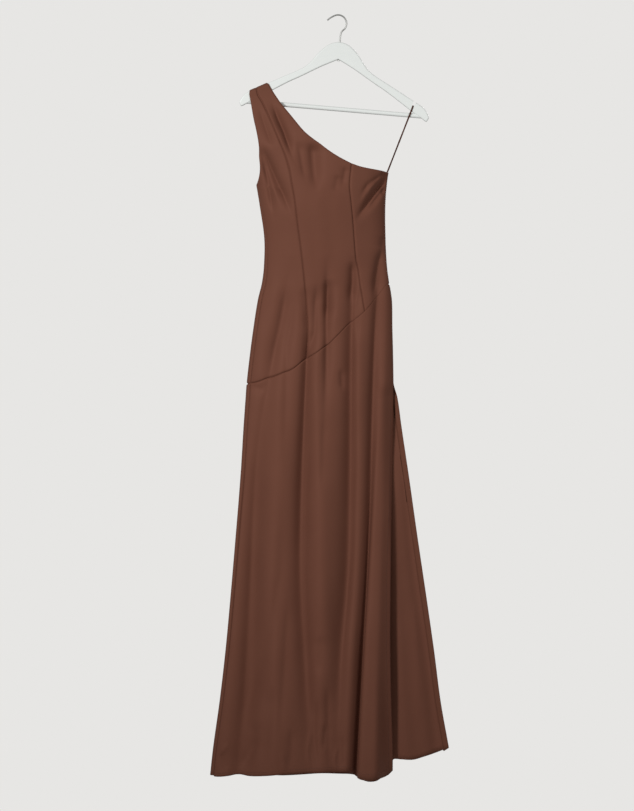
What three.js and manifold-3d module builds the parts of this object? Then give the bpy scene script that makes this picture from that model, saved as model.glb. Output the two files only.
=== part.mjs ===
// A one-shoulder maxi dress in satin, hung on a shaped wooden hanger with a wire hook.
// Units are millimetres. X runs to the right as seen from the front, Y to the back, Z up.
// The origin is the point on the underside of the hook's crown where the hanger is held.
//
// The dress is a set of cut pieces that all lie on one surface, ring(turn, drop).
// turn goes round the body: 0 is the left outline, -1 the right edge along the front and
// +1 the right edge along the back. drop goes down it, and is a height except where the
// shoulder bends over the hanger.
import * as THREE from "three";
import { mergeVertices } from "three/addons/utils/BufferGeometryUtils.js";
import Module from "manifold-3d";

const wasm = await Module();
wasm.setup();

// Driving sizes
const CLOTH = 1.2; // thickness of the satin wall
const SEAM_GAP = 0.3; // between two pieces at a seam
const TURNED_HEM = 13; // width of the hem turned in along the slit
const TURNED_CLOTH = 1; // thickness of that hem
const HANGER_TILT = THREE.MathUtils.degToRad(4.85); // right end lower
const HANGER_DEPTH = 12;
const HANGER_ROUNDING = 2.5;
const CREST_HEIGHT = 39; // wood under the hook
const ROD_FACETS = 16;
const BAR_RADIUS = 5;
const BAR_DROP = 150.5; // from the crest to the bar's axis
const BAR_REACH = 202; // half of the bar's length
const WIRE_RADIUS = 1.75;
const STEM_CLEARANCE = 0.35;
const HOOK_RADIUS = 19.3; // of the wire's centreline
const HOOK_CENTRE = new THREE.Vector2(-7.7, 41.6); // from the crest
const LOOP_WIDTH = 3.2;
const LOOP_THICKNESS = 1;
const SHOULDER_RADIUS = 10.4; // outside of the cloth where it bends over the arm
const SHOULDER_RISE = 3; // outside of the cloth above the arm's edge
const SHOULDER_REACH = 150; // length over which the strap opens into the bodice
const SLIT_REACH = 500; // height over which the slit's edges draw back from the side
const FLAT_SIDE = 0.35; // share of the depth next to a side that stays free of folds

// The hanger's half outline from the crest, right side, Y up
const ARM_TOP = [
  [15, -3], [29, -11], [46, -28], [57, -43.5], [69, -57.5], [84, -68.5], [112, -83.5],
  [144, -100.5], [172, -115.7], [195, -128], [207, -139], [214, -153],
];
const ARM_UNDER = [
  [209, -162], [197, -155], [174, -141.5], [146, -123], [110, -100],
  [82, -84.5], [42, -60.7], [20, -49], [0, -CREST_HEIGHT],
];

// Outline of the body at heights z. left and right are the outline from the front, slit is
// the back's own right edge under the slit, and seam is how far the left side seam lies in
// from the outline. front and back are depths from the middle plane. Above the underarm
// the rows carry the body on past the armhole, so that the shoulder opens out of it.
const BODY = [
  { z: -150, left: -285, right: 200, slit: 200, seam: 0, front: 50, back: 34 },
  { z: -250, left: -236, right: 160, slit: 160, seam: 0, front: 54, back: 36 },
  { z: -340, left: -194, right: 118, slit: 118, seam: 0, front: 60, back: 40 },
  { z: -380, left: -184.3, right: 110.5, slit: 110.5, seam: 0, front: 62, back: 43 },
  { z: -430, left: -175.8, right: 107, slit: 107, seam: 2, front: 60, back: 43 },
  { z: -500, left: -166, right: 107.5, slit: 107.5, seam: 5, front: 51, back: 41 },
  { z: -560, left: -166.5, right: 110.5, slit: 110.5, seam: 7, front: 47, back: 43 },
  { z: -600, left: -171, right: 115.5, slit: 115.5, seam: 8, front: 46, back: 46 },
  { z: -640, left: -180.5, right: 121.5, slit: 121.5, seam: 8, front: 47, back: 49 },
  { z: -700, left: -190, right: 122.5, slit: 122.5, seam: 8, front: 49, back: 52 },
  { z: -760, left: -198, right: 124, slit: 124, seam: 8, front: 51, back: 53 },
  { z: -826, left: -205.5, right: 125, slit: 125, seam: 8, front: 53, back: 54 },
  { z: -860, left: -208, right: 124.9, slit: 134, seam: 8, front: 54, back: 54 },
  { z: -925, left: -212.6, right: 124.5, slit: 143, seam: 8, front: 54, back: 54 },
  { z: -1036, left: -219.5, right: 122.5, slit: 159.5, seam: 8, front: 55, back: 55 },
  { z: -1166, left: -230, right: 120, slit: 178, seam: 8, front: 57, back: 56 },
  { z: -1318, left: -243, right: 118, slit: 200.5, seam: 8, front: 59, back: 57 },
  { z: -1430, left: -253.5, right: 118, slit: 216.5, seam: 8, front: 61, back: 58 },
  { z: -1542, left: -266.5, right: 120, slit: 231, seam: 8, front: 63, back: 60 },
  { z: -1646, left: -281, right: 123, slit: 249.5, seam: 8, front: 65, back: 62 },
  { z: -1710, left: -288, right: 123, slit: 261, seam: 8, front: 66, back: 63 },
];
const SLIT_TOP = -826;
const HEM_LEVEL = -1710;
// From a little under the slit's top the back comes forwards, over these lengths down and across
const SLIT_DRAWN = { front: 0, back: 27, under: 20, down: 220, from: 70, over: 70 };
const SLIT_OPENS = { front: 0.1, back: 0.24 }; // how far short of the side the slit edges stop

// Cut lines as [x, z] points
const UNDERARM = [-184.3, -380];
const OPEN_CORNER = [114.1, -354];
const ARMHOLE = [
  [-197, -192], [-190.4, -231], [-183.4, -264], [-178.6, -295], [-176.4, -327], [-177.8, -355],
];
const ARMHOLE_BACK = [[-192, -192], [-183, -231], [-175, -264], [-170, -295], [-168.5, -327], [-172, -355]];
const NECK = [
  [-144.9, -172.6], [-128.5, -197], [-106.7, -224.3], [-76.7, -261.2], [-52.2, -281.7], [-25, -302.2],
  [2.5, -319.7],
];
const NECK_SEAM = [31.1, -334.5]; // where the open side's princess seam meets the neckline
const NECK_END = [[50, -341], [70.4, -345.2], [97.9, -349.9]];
const NECK_BACK = [[-148, -173], [-136, -200], [-117, -234], [-92, -270], [-62, -300], [-28, -324]];
const NECK_BACK_MIDDLE = [10, -343]; // where it turns level
const NECK_BACK_END = [[50, -354], [85, -357]];
const STRAP_SEAM = [
  [-178.9, -180.7], [-168.8, -198], [-147.6, -247.5], [-133.9, -277.4], [-120.4, -310.3], [-109.4, -348.5],
  [-104, -381], [-97.2, -422], [-90.2, -476.6], [-82.4, -535.3], [-75.2, -598.3], [-70.9, -658.6],
  [-68.4, -716], [-70.9, -771.5],
];
const OPEN_SEAM = [
  [27.5, -362], [26.3, -384], [29.7, -416.7], [33.8, -457.4], [36.9, -500.9], [41.2, -552.4], [48.4, -601.2],
  [55.6, -641.5], [61.2, -666.5],
];
// Where they cross the shoulder line, and where they leave the bend under it
const SHOULDER = {
  armhole: { over: -201.2, under: -199.5 },
  seam: { over: -185.6, under: -182 },
  neck: { over: -159.3, under: -153.6 },
};

// The slanting hip seam and the two hems, as heights over x
const HIP_SEAM = [
  [-205.7, -828], [-182.7, -824.6], [-156.8, -815.2], [-128.3, -805.1], [-99.5, -793.6], [-70.9, -771.8],
  [-30.6, -747], [0.9, -719], [26.8, -694], [61.2, -666.8], [87.1, -636], [101.5, -617.5], [116, -603],
];
const HEM_FRONT = [
  [-288, -1708], [-273, -1711], [-247, -1709], [-224, -1705], [-199, -1708.5], [-161, -1707],
  [-120, -1703], [-50, -1700], [6, -1698], [30, -1701], [48, -1714], [72, -1716.5], [100, -1711.5],
  [115, -1705], [123, -1697],
];
const HEM_BACK = [
  [-288, -1708], [-240, -1710], [-160, -1711], [-109, -1712], [-12, -1709], [36, -1711], [53, -1722],
  [73, -1727], [93, -1721], [110, -1695], [124, -1674], [141, -1673], [171, -1674], [193, -1668.5],
  [223, -1659.5], [262, -1647],
];

// Falls are folds that hang down the skirt. Each row gives, at these heights, where the
// fold lies and how far it rises outwards, less than nothing for a trough. left and right
// are its half widths on those sides, at the top and at the hem, and lean moves a crest
// sideways over its neighbour. A crest is round and a trough is sharp.
const FALL_Z = [-540, -660, -780, -900, -1050, -1250, -1480, -1715];
const SHARPNESS = 0.2; // how round a trough's bottom is, as a share of its width
const STRAIGHT = [0, 0, 0, 0, 0, 0, 0, 0];
const FRONT_FALLS = [
  {
    name: "side trough", x: [-105, -121, -146, -168, -185, -194, -205, -224], left: [13, 26], right: [20, 40],
    rise: [0, -5, -9, -9, -14, -20, -24, -24], lean: STRAIGHT,
  },
  {
    name: "side crest", x: [-100, -110, -118, -131, -142, -150, -146, -150], left: [22, 34], right: [22, 34],
    rise: [0, 0, 2, 3, 4, 5, 5, 5], lean: STRAIGHT,
  },
  {
    name: "seam trough", x: [-71, -70, -71, -76, -82, -85, -74, -64], left: [9, 32], right: [12, 28],
    rise: [0, -4, -20, -22, -22, -22, -22, -16], lean: STRAIGHT,
  },
  {
    name: "hip trough", x: [-24, -26, -26, -29, -31, -31, -31, -31], left: [8, 10], right: [12, 18],
    rise: [0, -14, -14, -3, 0, 0, 0, 0], lean: STRAIGHT,
  },
  {
    name: "middle crest", x: [0, -2, -48, -46, -40, -36, -38, -45], left: [14, 32], right: [14, 32],
    rise: [0, 1, 2, 4, 5, 6, 6, 5], lean: STRAIGHT,
  },
  {
    name: "middle trough", x: [40, 31, 29, 28, 26, 21, 4, -2], left: [14, 32], right: [9, 28],
    rise: [0, -16, -22, -22, -22, -22, -20, -15], lean: STRAIGHT,
  },
  {
    name: "narrow crest", x: [50, 46, 45, 42, 38, 36, 24, 14], left: [12, 16], right: [12, 16],
    rise: [0, 1, 2, 3, 3, 4, 5, 6], lean: STRAIGHT,
  },
  {
    name: "deep crease", x: [99, 86, 80, 76, 71, 63, 50, 38], left: [9, 11], right: [14, 11],
    rise: [0, -12, -17, -19, -21, -24, -27, -29], lean: [0, 0, 0, 0, 2, 4, 5, 5],
  },
  {
    name: "overlapping lip", x: [110, 100, 95, 92, 86, 77, 66, 54], left: [9, 11], right: [9, 11],
    rise: [0, 0, 0, 2, 4, 6, 8, 8], lean: [0, 0, 0, 0, -4, -8, -11, -11],
  },
  {
    name: "slit crest", x: [108, 104, 103, 102, 98, 92, 86, 80], left: [12, 28], right: [12, 28],
    rise: [0, 2, 4, 6, 9, 13, 18, 22], lean: STRAIGHT,
  },
];
const BACK_FALLS = [
  {
    name: "side crest", x: [-120, -130, -140, -155, -170, -185, -200, -215], left: [24, 34], right: [24, 34],
    rise: [0, 4, 7, 9, 11, 13, 14, 15], lean: STRAIGHT,
  },
  {
    name: "side trough", x: [-70, -76, -84, -95, -104, -112, -122, -130], left: [15, 24], right: [15, 24],
    rise: [0, -5, -9, -12, -14, -16, -18, -18], lean: STRAIGHT,
  },
  {
    name: "middle crest", x: [-30, -30, -32, -36, -38, -40, -42, -44], left: [22, 32], right: [22, 32],
    rise: [0, 4, 7, 9, 11, 13, 14, 14], lean: STRAIGHT,
  },
  {
    name: "middle trough", x: [20, 20, 19, 18, 16, 14, 12, 10], left: [14, 20], right: [14, 20],
    rise: [0, -5, -9, -12, -14, -15, -16, -16], lean: STRAIGHT,
  },
  {
    name: "hollow behind the slit crest", x: [70, 72, 74, 76, 76, 75, 74, 74], left: [16, 24], right: [16, 24],
    rise: [0, 0, -2, -4, -6, -8, -12, -16], lean: STRAIGHT,
  },
  {
    name: "outer trough", x: [90, 95, 100, 108, 120, 130, 142, 155], left: [12, 20], right: [12, 20],
    rise: [0, 0, 0, -2, -4, -6, -8, -10], lean: STRAIGHT,
  },
  {
    name: "outer crest", x: [105, 110, 115, 125, 150, 172, 204, 230], left: [10, 18], right: [10, 18],
    rise: [0, 0, 0, 2, 4, 6, 7, 8], lean: STRAIGHT,
  },
];

// Drags are creases that pull across the bodice from where it hangs, strongest at from
const FRONT_DRAGS = [
  { name: "open corner", from: [108, -364], to: [40, -463], width: 9, rise: -9 },
  { name: "underarm", from: [-178, -300], to: [-106, -450], width: 10, rise: -8 },
  { name: "strap", from: [-146, -200], to: [-106, -311], width: 8, rise: -5 },
  { name: "bust", from: [-54, -296], to: [-52, -409], width: 15, rise: -6 },
];
const BACK_DRAGS = [
  { name: "open corner", from: [98, -388], to: [28, -490], width: 12, rise: -7 },
  { name: "strap", from: [-150, -205], to: [-96, -400], width: 12, rise: -6 },
];

// Grid counts
const ROWS = { turn: 4, upper: 7, lower: 10, sideSeam: 6, slit: 15 };
const COLUMNS = { strapSide: 10, centre: 11, openSide: 10, back: 24, backLeft: 16, turnedHem: 2 };

// Columns of the skirt's grid that run down a fold, by the fold's name
const FRONT_GUIDES = {
  "side trough": 4, "side crest": 6, "seam trough": 10, "middle crest": 14, "middle trough": 18,
  "narrow crest": 20, "deep crease": 23, "overlapping lip": 26, "slit crest": 28,
};
const BACK_GUIDES = {
  "side crest": 4, "side trough": 7, "middle crest": 10, "middle trough": 13,
  "hollow behind the slit crest": 16, "outer trough": 19, "outer crest": 22,
};

const clamp = (value, low, high) => Math.min(Math.max(value, low), high);
const smooth = (share) => {
  const t = clamp(share, 0, 1);
  return t * t * (3 - 2 * t);
};

// A smooth line through the values at the places, which may run up or down.
function line(places, values) {
  const last = places.length - 1;
  const slope = values.map((_, i) => {
    const before = Math.max(i - 1, 0);
    const after = Math.min(i + 1, last);
    return (values[after] - values[before]) / (places[after] - places[before]);
  });
  const down = places[last] < places[0];
  return (at) => {
    let i = 0;
    while (i < last - 1 && (down ? at < places[i + 1] : at > places[i + 1])) i += 1;
    const length = places[i + 1] - places[i];
    const t = clamp((at - places[i]) / length, 0, 1);
    const rest = 1 - t;
    return (
      rest * rest * ((1 + 2 * t) * values[i] + t * length * slope[i]) +
      t * t * ((1 + 2 * rest) * values[i + 1] - rest * length * slope[i + 1])
    );
  };
}

const bodyColumn = (name) => line(BODY.map((row) => row.z), BODY.map((row) => row[name]));
const leftOf = bodyColumn("left");
const seamInset = bodyColumn("seam");
const overX = (points) => line(points.map((point) => point[0]), points.map((point) => point[1]));
const hipSeam = overX(HIP_SEAM);
const hemFront = overX(HEM_FRONT);
const hemBack = overX(HEM_BACK);
const neckEnd = overX([NECK_SEAM, ...NECK_END, OPEN_CORNER]);

function foldField(falls, drags) {
  const hanging = falls.map(({ x, rise, lean, left, right }) => ({
    x: line(FALL_Z, x), rise: line(FALL_Z, rise), lean: line(FALL_Z, lean), left, right,
    sharp: Math.min(...rise) < 0,
  }));
  return (x, z) => {
    let rise = 0;
    let lean = 0;
    const share = clamp((FALL_Z[0] - z) / (FALL_Z[0] - HEM_LEVEL), 0, 1) ** 2;
    for (const fold of hanging) {
      const away = x - fold.x(z);
      const [top, low] = away < 0 ? fold.left : fold.right;
      const off = away / (top + (low - top) * share);
      const shape = Math.exp(fold.sharp ? SHARPNESS - Math.hypot(off, SHARPNESS) : -(off ** 2));
      rise += fold.rise(z) * shape;
      lean += fold.lean(z) * shape;
    }
    for (const { from, to, width, rise: depth } of drags) {
      const run = [to[0] - from[0], to[1] - from[1]];
      const length = Math.hypot(...run);
      const way = ((x - from[0]) * run[0] + (z - from[1]) * run[1]) / length;
      const off = ((x - from[0]) * run[1] - (z - from[1]) * run[0]) / length;
      const share = way / length;
      const fade = smooth((share + 0.08) / 0.2) * smooth((1.1 - share) / 0.8);
      rise += depth * fade * Math.exp(-((off / width) ** 2));
    }
    return { rise, lean };
  };
}

const FRONT = {
  sign: -1, right: bodyColumn("right"), depth: bodyColumn("front"), falls: FRONT_FALLS,
  folds: foldField(FRONT_FALLS, FRONT_DRAGS), opens: SLIT_OPENS.front, drawn: SLIT_DRAWN.front,
};
const BACK = {
  sign: 1, right: bodyColumn("slit"), depth: bodyColumn("back"), falls: BACK_FALLS,
  folds: foldField(BACK_FALLS, BACK_DRAGS), opens: SLIT_OPENS.back, drawn: SLIT_DRAWN.back,
};
const lastAngle = (side, z) => Math.PI * (1 - side.opens * smooth((SLIT_TOP - z) / SLIT_REACH));

// The hanger's frame: its crest hangs from the hook's crown, which is the origin.
const hangerX = new THREE.Vector3(Math.cos(HANGER_TILT), 0, -Math.sin(HANGER_TILT));
const hangerUp = new THREE.Vector3(Math.sin(HANGER_TILT), 0, Math.cos(HANGER_TILT));
const onHanger = (x, up) => hangerX.clone().multiplyScalar(x).addScaledVector(hangerUp, up);
const crownInside = onHanger(HOOK_CENTRE.x, HOOK_CENTRE.y);
crownInside.z += HOOK_RADIUS - WIRE_RADIUS;
const crest = crownInside.clone().negate();

// The shoulder line lies above the arm's edge between two points of its outline.
const [armA, armB] = [ARM_TOP[9], ARM_TOP[8]].map(([x, up]) => onHanger(-x, up).add(crest));
const armSlope = (armB.z - armA.z) / (armB.x - armA.x);
const shoulder = (x) => armA.z + armSlope * (x - armA.x) + SHOULDER_RISE;
const TURN_LENGTH = (Math.PI / 2) * SHOULDER_RADIUS;
const TURN_LOSS = TURN_LENGTH - SHOULDER_RADIUS; // a drop below the turn is this much under its height

// A point on the outside of the dress.
function ring(turn, drop) {
  const side = turn < 0 ? FRONT : BACK;
  const level = drop + TURN_LOSS;
  const angleEnd = lastAngle(side, level);
  const angle = angleEnd * Math.abs(turn);
  const left = leftOf(level);
  const x = left + ((side.right(level) - left) * (1 - Math.cos(angle))) / (1 - Math.cos(angleEnd));
  const { rise, lean } = side.folds(x, level);
  const inner = smooth(Math.sin(angle) / FLAT_SIDE);
  const drawnDown = smooth((SLIT_TOP - SLIT_DRAWN.under - level) / SLIT_DRAWN.down);
  const drawn = drawnDown * smooth((x - SLIT_DRAWN.from) / SLIT_DRAWN.over);
  const out = side.depth(level) * Math.sin(angle) + rise * inner - side.drawn * drawn;
  const below = shoulder(x) - drop; // along the cloth from the shoulder line
  const bend = Math.min(below, TURN_LENGTH) / SHOULDER_RADIUS;
  const opened = smooth((below - TURN_LENGTH) / SHOULDER_REACH);
  const y = SHOULDER_RADIUS * Math.sin(bend) * (1 - opened) + out * opened;
  const z = below < TURN_LENGTH ? shoulder(x) - SHOULDER_RADIUS * (1 - Math.cos(bend)) : level;
  return new THREE.Vector3(x + lean * inner, side.sign * y, z);
}

const STEP = { turn: 1e-4, drop: 0.05 };
function outward(turn, drop) {
  const round = ring(turn + STEP.turn, drop).sub(ring(turn - STEP.turn, drop));
  const up = ring(turn, drop + STEP.drop).sub(ring(turn, drop - STEP.drop));
  return up.cross(round).normalize();
}

// The turn of a point x, z on the front or the back.
function turnAt(side, x, z) {
  const angleEnd = lastAngle(side, z);
  const left = leftOf(z);
  const share = clamp((x - left) / (side.right(z) - left), 0, 1);
  const cosine = clamp(1 - share * (1 - Math.cos(angleEnd)), -1, 1);
  return (side.sign * Math.acos(cosine)) / angleEnd;
}
const place = (side, x, z) => ({ turn: turnAt(side, x, z), drop: z - TURN_LOSS });

// Points down a cut line, evenly spaced, without the first one.
function down(side, count, points) {
  const curve = new THREE.SplineCurve(points.map(([x, z]) => new THREE.Vector2(x, z)));
  return Array.from({ length: count }, (_, i) => {
    const point = curve.getPointAt((i + 1) / count);
    return place(side, point.x, point.y);
  });
}

const ended = (points, end) => [...points.slice(0, -1), end];

// Points from the shoulder line over the bend.
function overShoulder(side, { over, under }) {
  return Array.from({ length: ROWS.turn + 1 }, (_, j) => {
    const share = j / ROWS.turn;
    const x = over + (under - over) * share;
    const drop = shoulder(x) - TURN_LENGTH * share;
    return { turn: turnAt(side, x, drop + TURN_LOSS), drop };
  });
}
const underTurn = ({ under }) => [under, shoulder(under) - TURN_LENGTH + TURN_LOSS];

// Points along a line of heights over x, from one turn to another, found in a few rounds.
const ROUNDS = 14;
function across(from, to, count, heightAt) {
  return Array.from({ length: count + 1 }, (_, i) => {
    const turn = from + ((to - from) * i) / count;
    let drop = UNDERARM[1];
    for (let n = 0; n < ROUNDS; n += 1) {
      const side = turn < 0 ? FRONT : BACK;
      const level = drop + TURN_LOSS;
      const end = lastAngle(side, level);
      const reach = (1 - Math.cos(end * Math.abs(turn))) / (1 - Math.cos(end));
      const left = leftOf(level);
      drop = heightAt(left + (side.right(level) - left) * reach) - TURN_LOSS;
    }
    return { turn, drop };
  });
}

// Points down one edge of the body, at turn -1 or 1.
function edge(turn, top, bottom, count) {
  return Array.from({ length: count }, (_, j) => {
    const z = top + ((bottom - top) * (j + 1)) / count;
    return { turn, drop: z - TURN_LOSS };
  });
}

// Points down the left side seam, which lies on the front.
function leftSeam(top, bottom, count) {
  return Array.from({ length: count }, (_, j) => {
    const z = top + ((bottom - top) * (j + 1)) / count;
    return place(FRONT, leftOf(z) + seamInset(z), z);
  });
}

// The turn that lies the turned hem's width in from the right edge.
function hemTurn(edgeTurn, drop) {
  const rim = ring(edgeTurn, drop);
  let [near, far] = [0, 0.5];
  for (let n = 0; n < 30; n += 1) {
    const middle = (near + far) / 2;
    if (ring(edgeTurn * (1 - middle), drop).distanceTo(rim) < TURNED_HEM) near = middle;
    else far = middle;
  }
  return edgeTurn * (1 - near);
}
const beforeHem = (points) => points.map(({ turn, drop }) => ({ turn: hemTurn(turn, drop), drop }));

// How far down a line each of its points lies, as a share of its length.
function shareDown(points) {
  const places = points.map(({ turn, drop }) => ring(turn, drop));
  const run = [0];
  for (let j = 1; j < points.length; j += 1) run.push(run[j - 1] + places[j].distanceTo(places[j - 1]));
  return run.map((value) => value / run[points.length - 1]);
}

// A grid of turns and drops between four edges, blended from them.
function patch(left, right, top, bottom) {
  const columns = top.length - 1;
  const mix = (a, b, share, key) => a[key] * (1 - share) + b[key] * share;
  const [lengthLeft, lengthRight] = [shareDown(left), shareDown(right)];
  return left.map((_, j) => {
    const q = (lengthLeft[j] + lengthRight[j]) / 2;
    return top.map((__, i) => {
      const p = i / columns;
      const value = (key) =>
        mix(left[j], right[j], p, key) +
        mix(top[i], bottom[i], q, key) -
        mix({ v: mix(top[0], top[columns], p, key) }, { v: mix(bottom[0], bottom[columns], p, key) }, q, "v");
      return { turn: value("turn"), drop: value("drop") };
    });
  });
}

// A skirt's grid: some columns run down folds and the others lie between those.
function skirtGrid(side, left, right, top, hem, guides) {
  const columns = top.length - 1;
  const rows = left.length - 1;
  const lines = side.falls
    .filter(({ name }) => guides[name])
    .map(({ name, x }) => ({ column: guides[name], x: line(FALL_Z, x) }));
  const turnOf = (i, drop, first, last) => {
    const z = drop + TURN_LOSS;
    const stops = [
      [0, first], ...lines.map(({ column, x }) => [column, turnAt(side, x(z), z)]), [columns, last],
    ];
    const k = Math.max(1, stops.findIndex(([column]) => column >= i));
    const share = (i - stops[k - 1][0]) / (stops[k][0] - stops[k - 1][0]);
    return stops[k - 1][1] + (stops[k][1] - stops[k - 1][1]) * share;
  };
  const shareOf = (points, j) => (points[j].drop - points[0].drop) / (points[rows].drop - points[0].drop);
  const bottom = top.map((_, i) => {
    if (i === 0 || i === columns) return (i ? right : left)[rows].drop;
    const level = HEM_LEVEL - TURN_LOSS;
    return hem(ring(turnOf(i, level, left[rows].turn, right[rows].turn), level).x) - TURN_LOSS;
  });
  return left.map((_, j) =>
    top.map((start, i) => {
      if (j === 0) return start;
      if (i === 0 || i === columns) return (i ? right : left)[j];
      const share = shareOf(left, j) + ((shareOf(right, j) - shareOf(left, j)) * i) / columns;
      const drop = start.drop + (bottom[i] - start.drop) * share;
      const late = start.turn - turnOf(i, start.drop, left[0].turn, right[0].turn);
      const turn = turnOf(i, drop, left[j].turn, right[j].turn) + late * (1 - smooth(share / 0.35));
      return { turn, drop };
    }),
  );
}

// Adds the columns of the turned hem, from the last column to the right edge.
function withHem(grid, rim) {
  return grid.map((row, j) => {
    const start = row[row.length - 1];
    const extra = Array.from({ length: COLUMNS.turnedHem }, (_, i) => {
      const share = (i + 1) / COLUMNS.turnedHem;
      return {
        turn: start.turn + (rim[j].turn - start.turn) * share,
        drop: start.drop + (rim[j].drop - start.drop) * share,
      };
    });
    return [...row, ...extra];
  });
}

// Moves the edges that meet another piece back by half the seam gap, measured across the seam.
function seamed(grid, { left, right, top, bottom }) {
  const lastRow = grid.length - 1;
  const span = (a, b) => ring(a.turn, a.drop).distanceTo(ring(b.turn, b.drop));
  const slide = ({ turn, drop }, toward, amount) => {
    const step = Math.sign(toward - turn) * STEP.turn;
    return turn + (step * amount) / span({ turn, drop }, { turn: turn + step, drop });
  };
  return grid.map((row, j) =>
    row.map((point, i) => {
      let { turn, drop } = point;
      const lastColumn = row.length - 1;
      const [before, after] = [grid[Math.max(j - 1, 0)][i] || point, grid[Math.min(j + 1, lastRow)][i]];
      const steep = clamp(Math.abs(before.drop - after.drop) / span(before, after), 0.5, 1);
      if (left && i === 0) turn = slide(point, row[1].turn, SEAM_GAP / 2 / steep);
      if (right && i === lastColumn) turn = slide(point, row[lastColumn - 1].turn, SEAM_GAP / 2 / steep);
      const [near, far] = [row[Math.max(i - 1, 0)], row[Math.min(i + 1, lastColumn)]];
      const level = clamp(Math.sqrt(1 - (Math.abs(near.drop - far.drop) / span(near, far)) ** 2), 0.5, 1);
      if (top && j === 0) drop -= SEAM_GAP / 2 / level;
      if (bottom && j === lastRow) drop += SEAM_GAP / 2 / level;
      return { turn, drop };
    }),
  );
}

// A closed wall over a grid, between two depths under the outside of the dress. A row may be
// shorter than the one under it.
function wallGeometry(grid, from, to) {
  const starts = [];
  let count = 0;
  for (const row of grid) {
    starts.push(count);
    count += row.length;
  }
  const positions = [];
  for (const depth of [from, to]) {
    for (const { turn, drop } of grid.flat()) {
      positions.push(...ring(turn, drop).addScaledVector(outward(turn, drop), -depth).toArray());
    }
  }
  const outer = (i, j) => starts[j] + i;
  const inner = (i, j) => count + outer(i, j);
  const faces = [];
  const quad = (a, b, c, d) => faces.push(a, b, c, a, c, d);
  const last = grid.length - 1;
  for (let j = 0; j < last; j += 1) {
    const end = grid[j].length - 1;
    for (let i = 0; i < end; i += 1) {
      quad(outer(i, j), outer(i, j + 1), outer(i + 1, j + 1), outer(i + 1, j));
      quad(inner(i, j), inner(i + 1, j), inner(i + 1, j + 1), inner(i, j + 1));
    }
    quad(outer(0, j + 1), outer(0, j), inner(0, j), inner(0, j + 1));
    quad(outer(end, j + 1), inner(end, j + 1), inner(end, j), outer(end, j));
  }
  grid.forEach((row, j) => {
    for (let i = j ? grid[j - 1].length - 1 : 0; i < row.length - 1; i += 1) {
      quad(outer(i, j), outer(i + 1, j), inner(i + 1, j), inner(i, j));
    }
  });
  for (let i = 0; i < grid[last].length - 1; i += 1) {
    quad(outer(i, last), inner(i, last), inner(i + 1, last), outer(i + 1, last));
  }
  const turnsBack = grid[last][1].turn > grid[last][0].turn;
  if (turnsBack) {
    for (let k = 0; k < faces.length; k += 3) [faces[k + 1], faces[k + 2]] = [faces[k + 2], faces[k + 1]];
  }
  const geometry = new THREE.BufferGeometry();
  geometry.setAttribute("position", new THREE.Float32BufferAttribute(positions, 3));
  geometry.setIndex(faces);
  geometry.computeVertexNormals();
  return geometry;
}

const satin = new THREE.MeshStandardMaterial({ color: 0x6a4335, roughness: 0.45, metalness: 0 });
const paintedWood = new THREE.MeshStandardMaterial({ color: 0xe9ebe8, roughness: 0.35, metalness: 0 });
const wire = new THREE.MeshStandardMaterial({ color: 0xa5a5a3, roughness: 0.3, metalness: 1 });
const ribbon = new THREE.MeshStandardMaterial({ color: 0x4a2e25, roughness: 0.4, metalness: 0 });

function named(name, geometry, material) {
  const mesh = new THREE.Mesh(geometry, material);
  mesh.name = name;
  return mesh;
}
const piece = (name, grid, seams) => named(name, wallGeometry(seamed(grid, seams), 0, CLOTH), satin);

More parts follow.
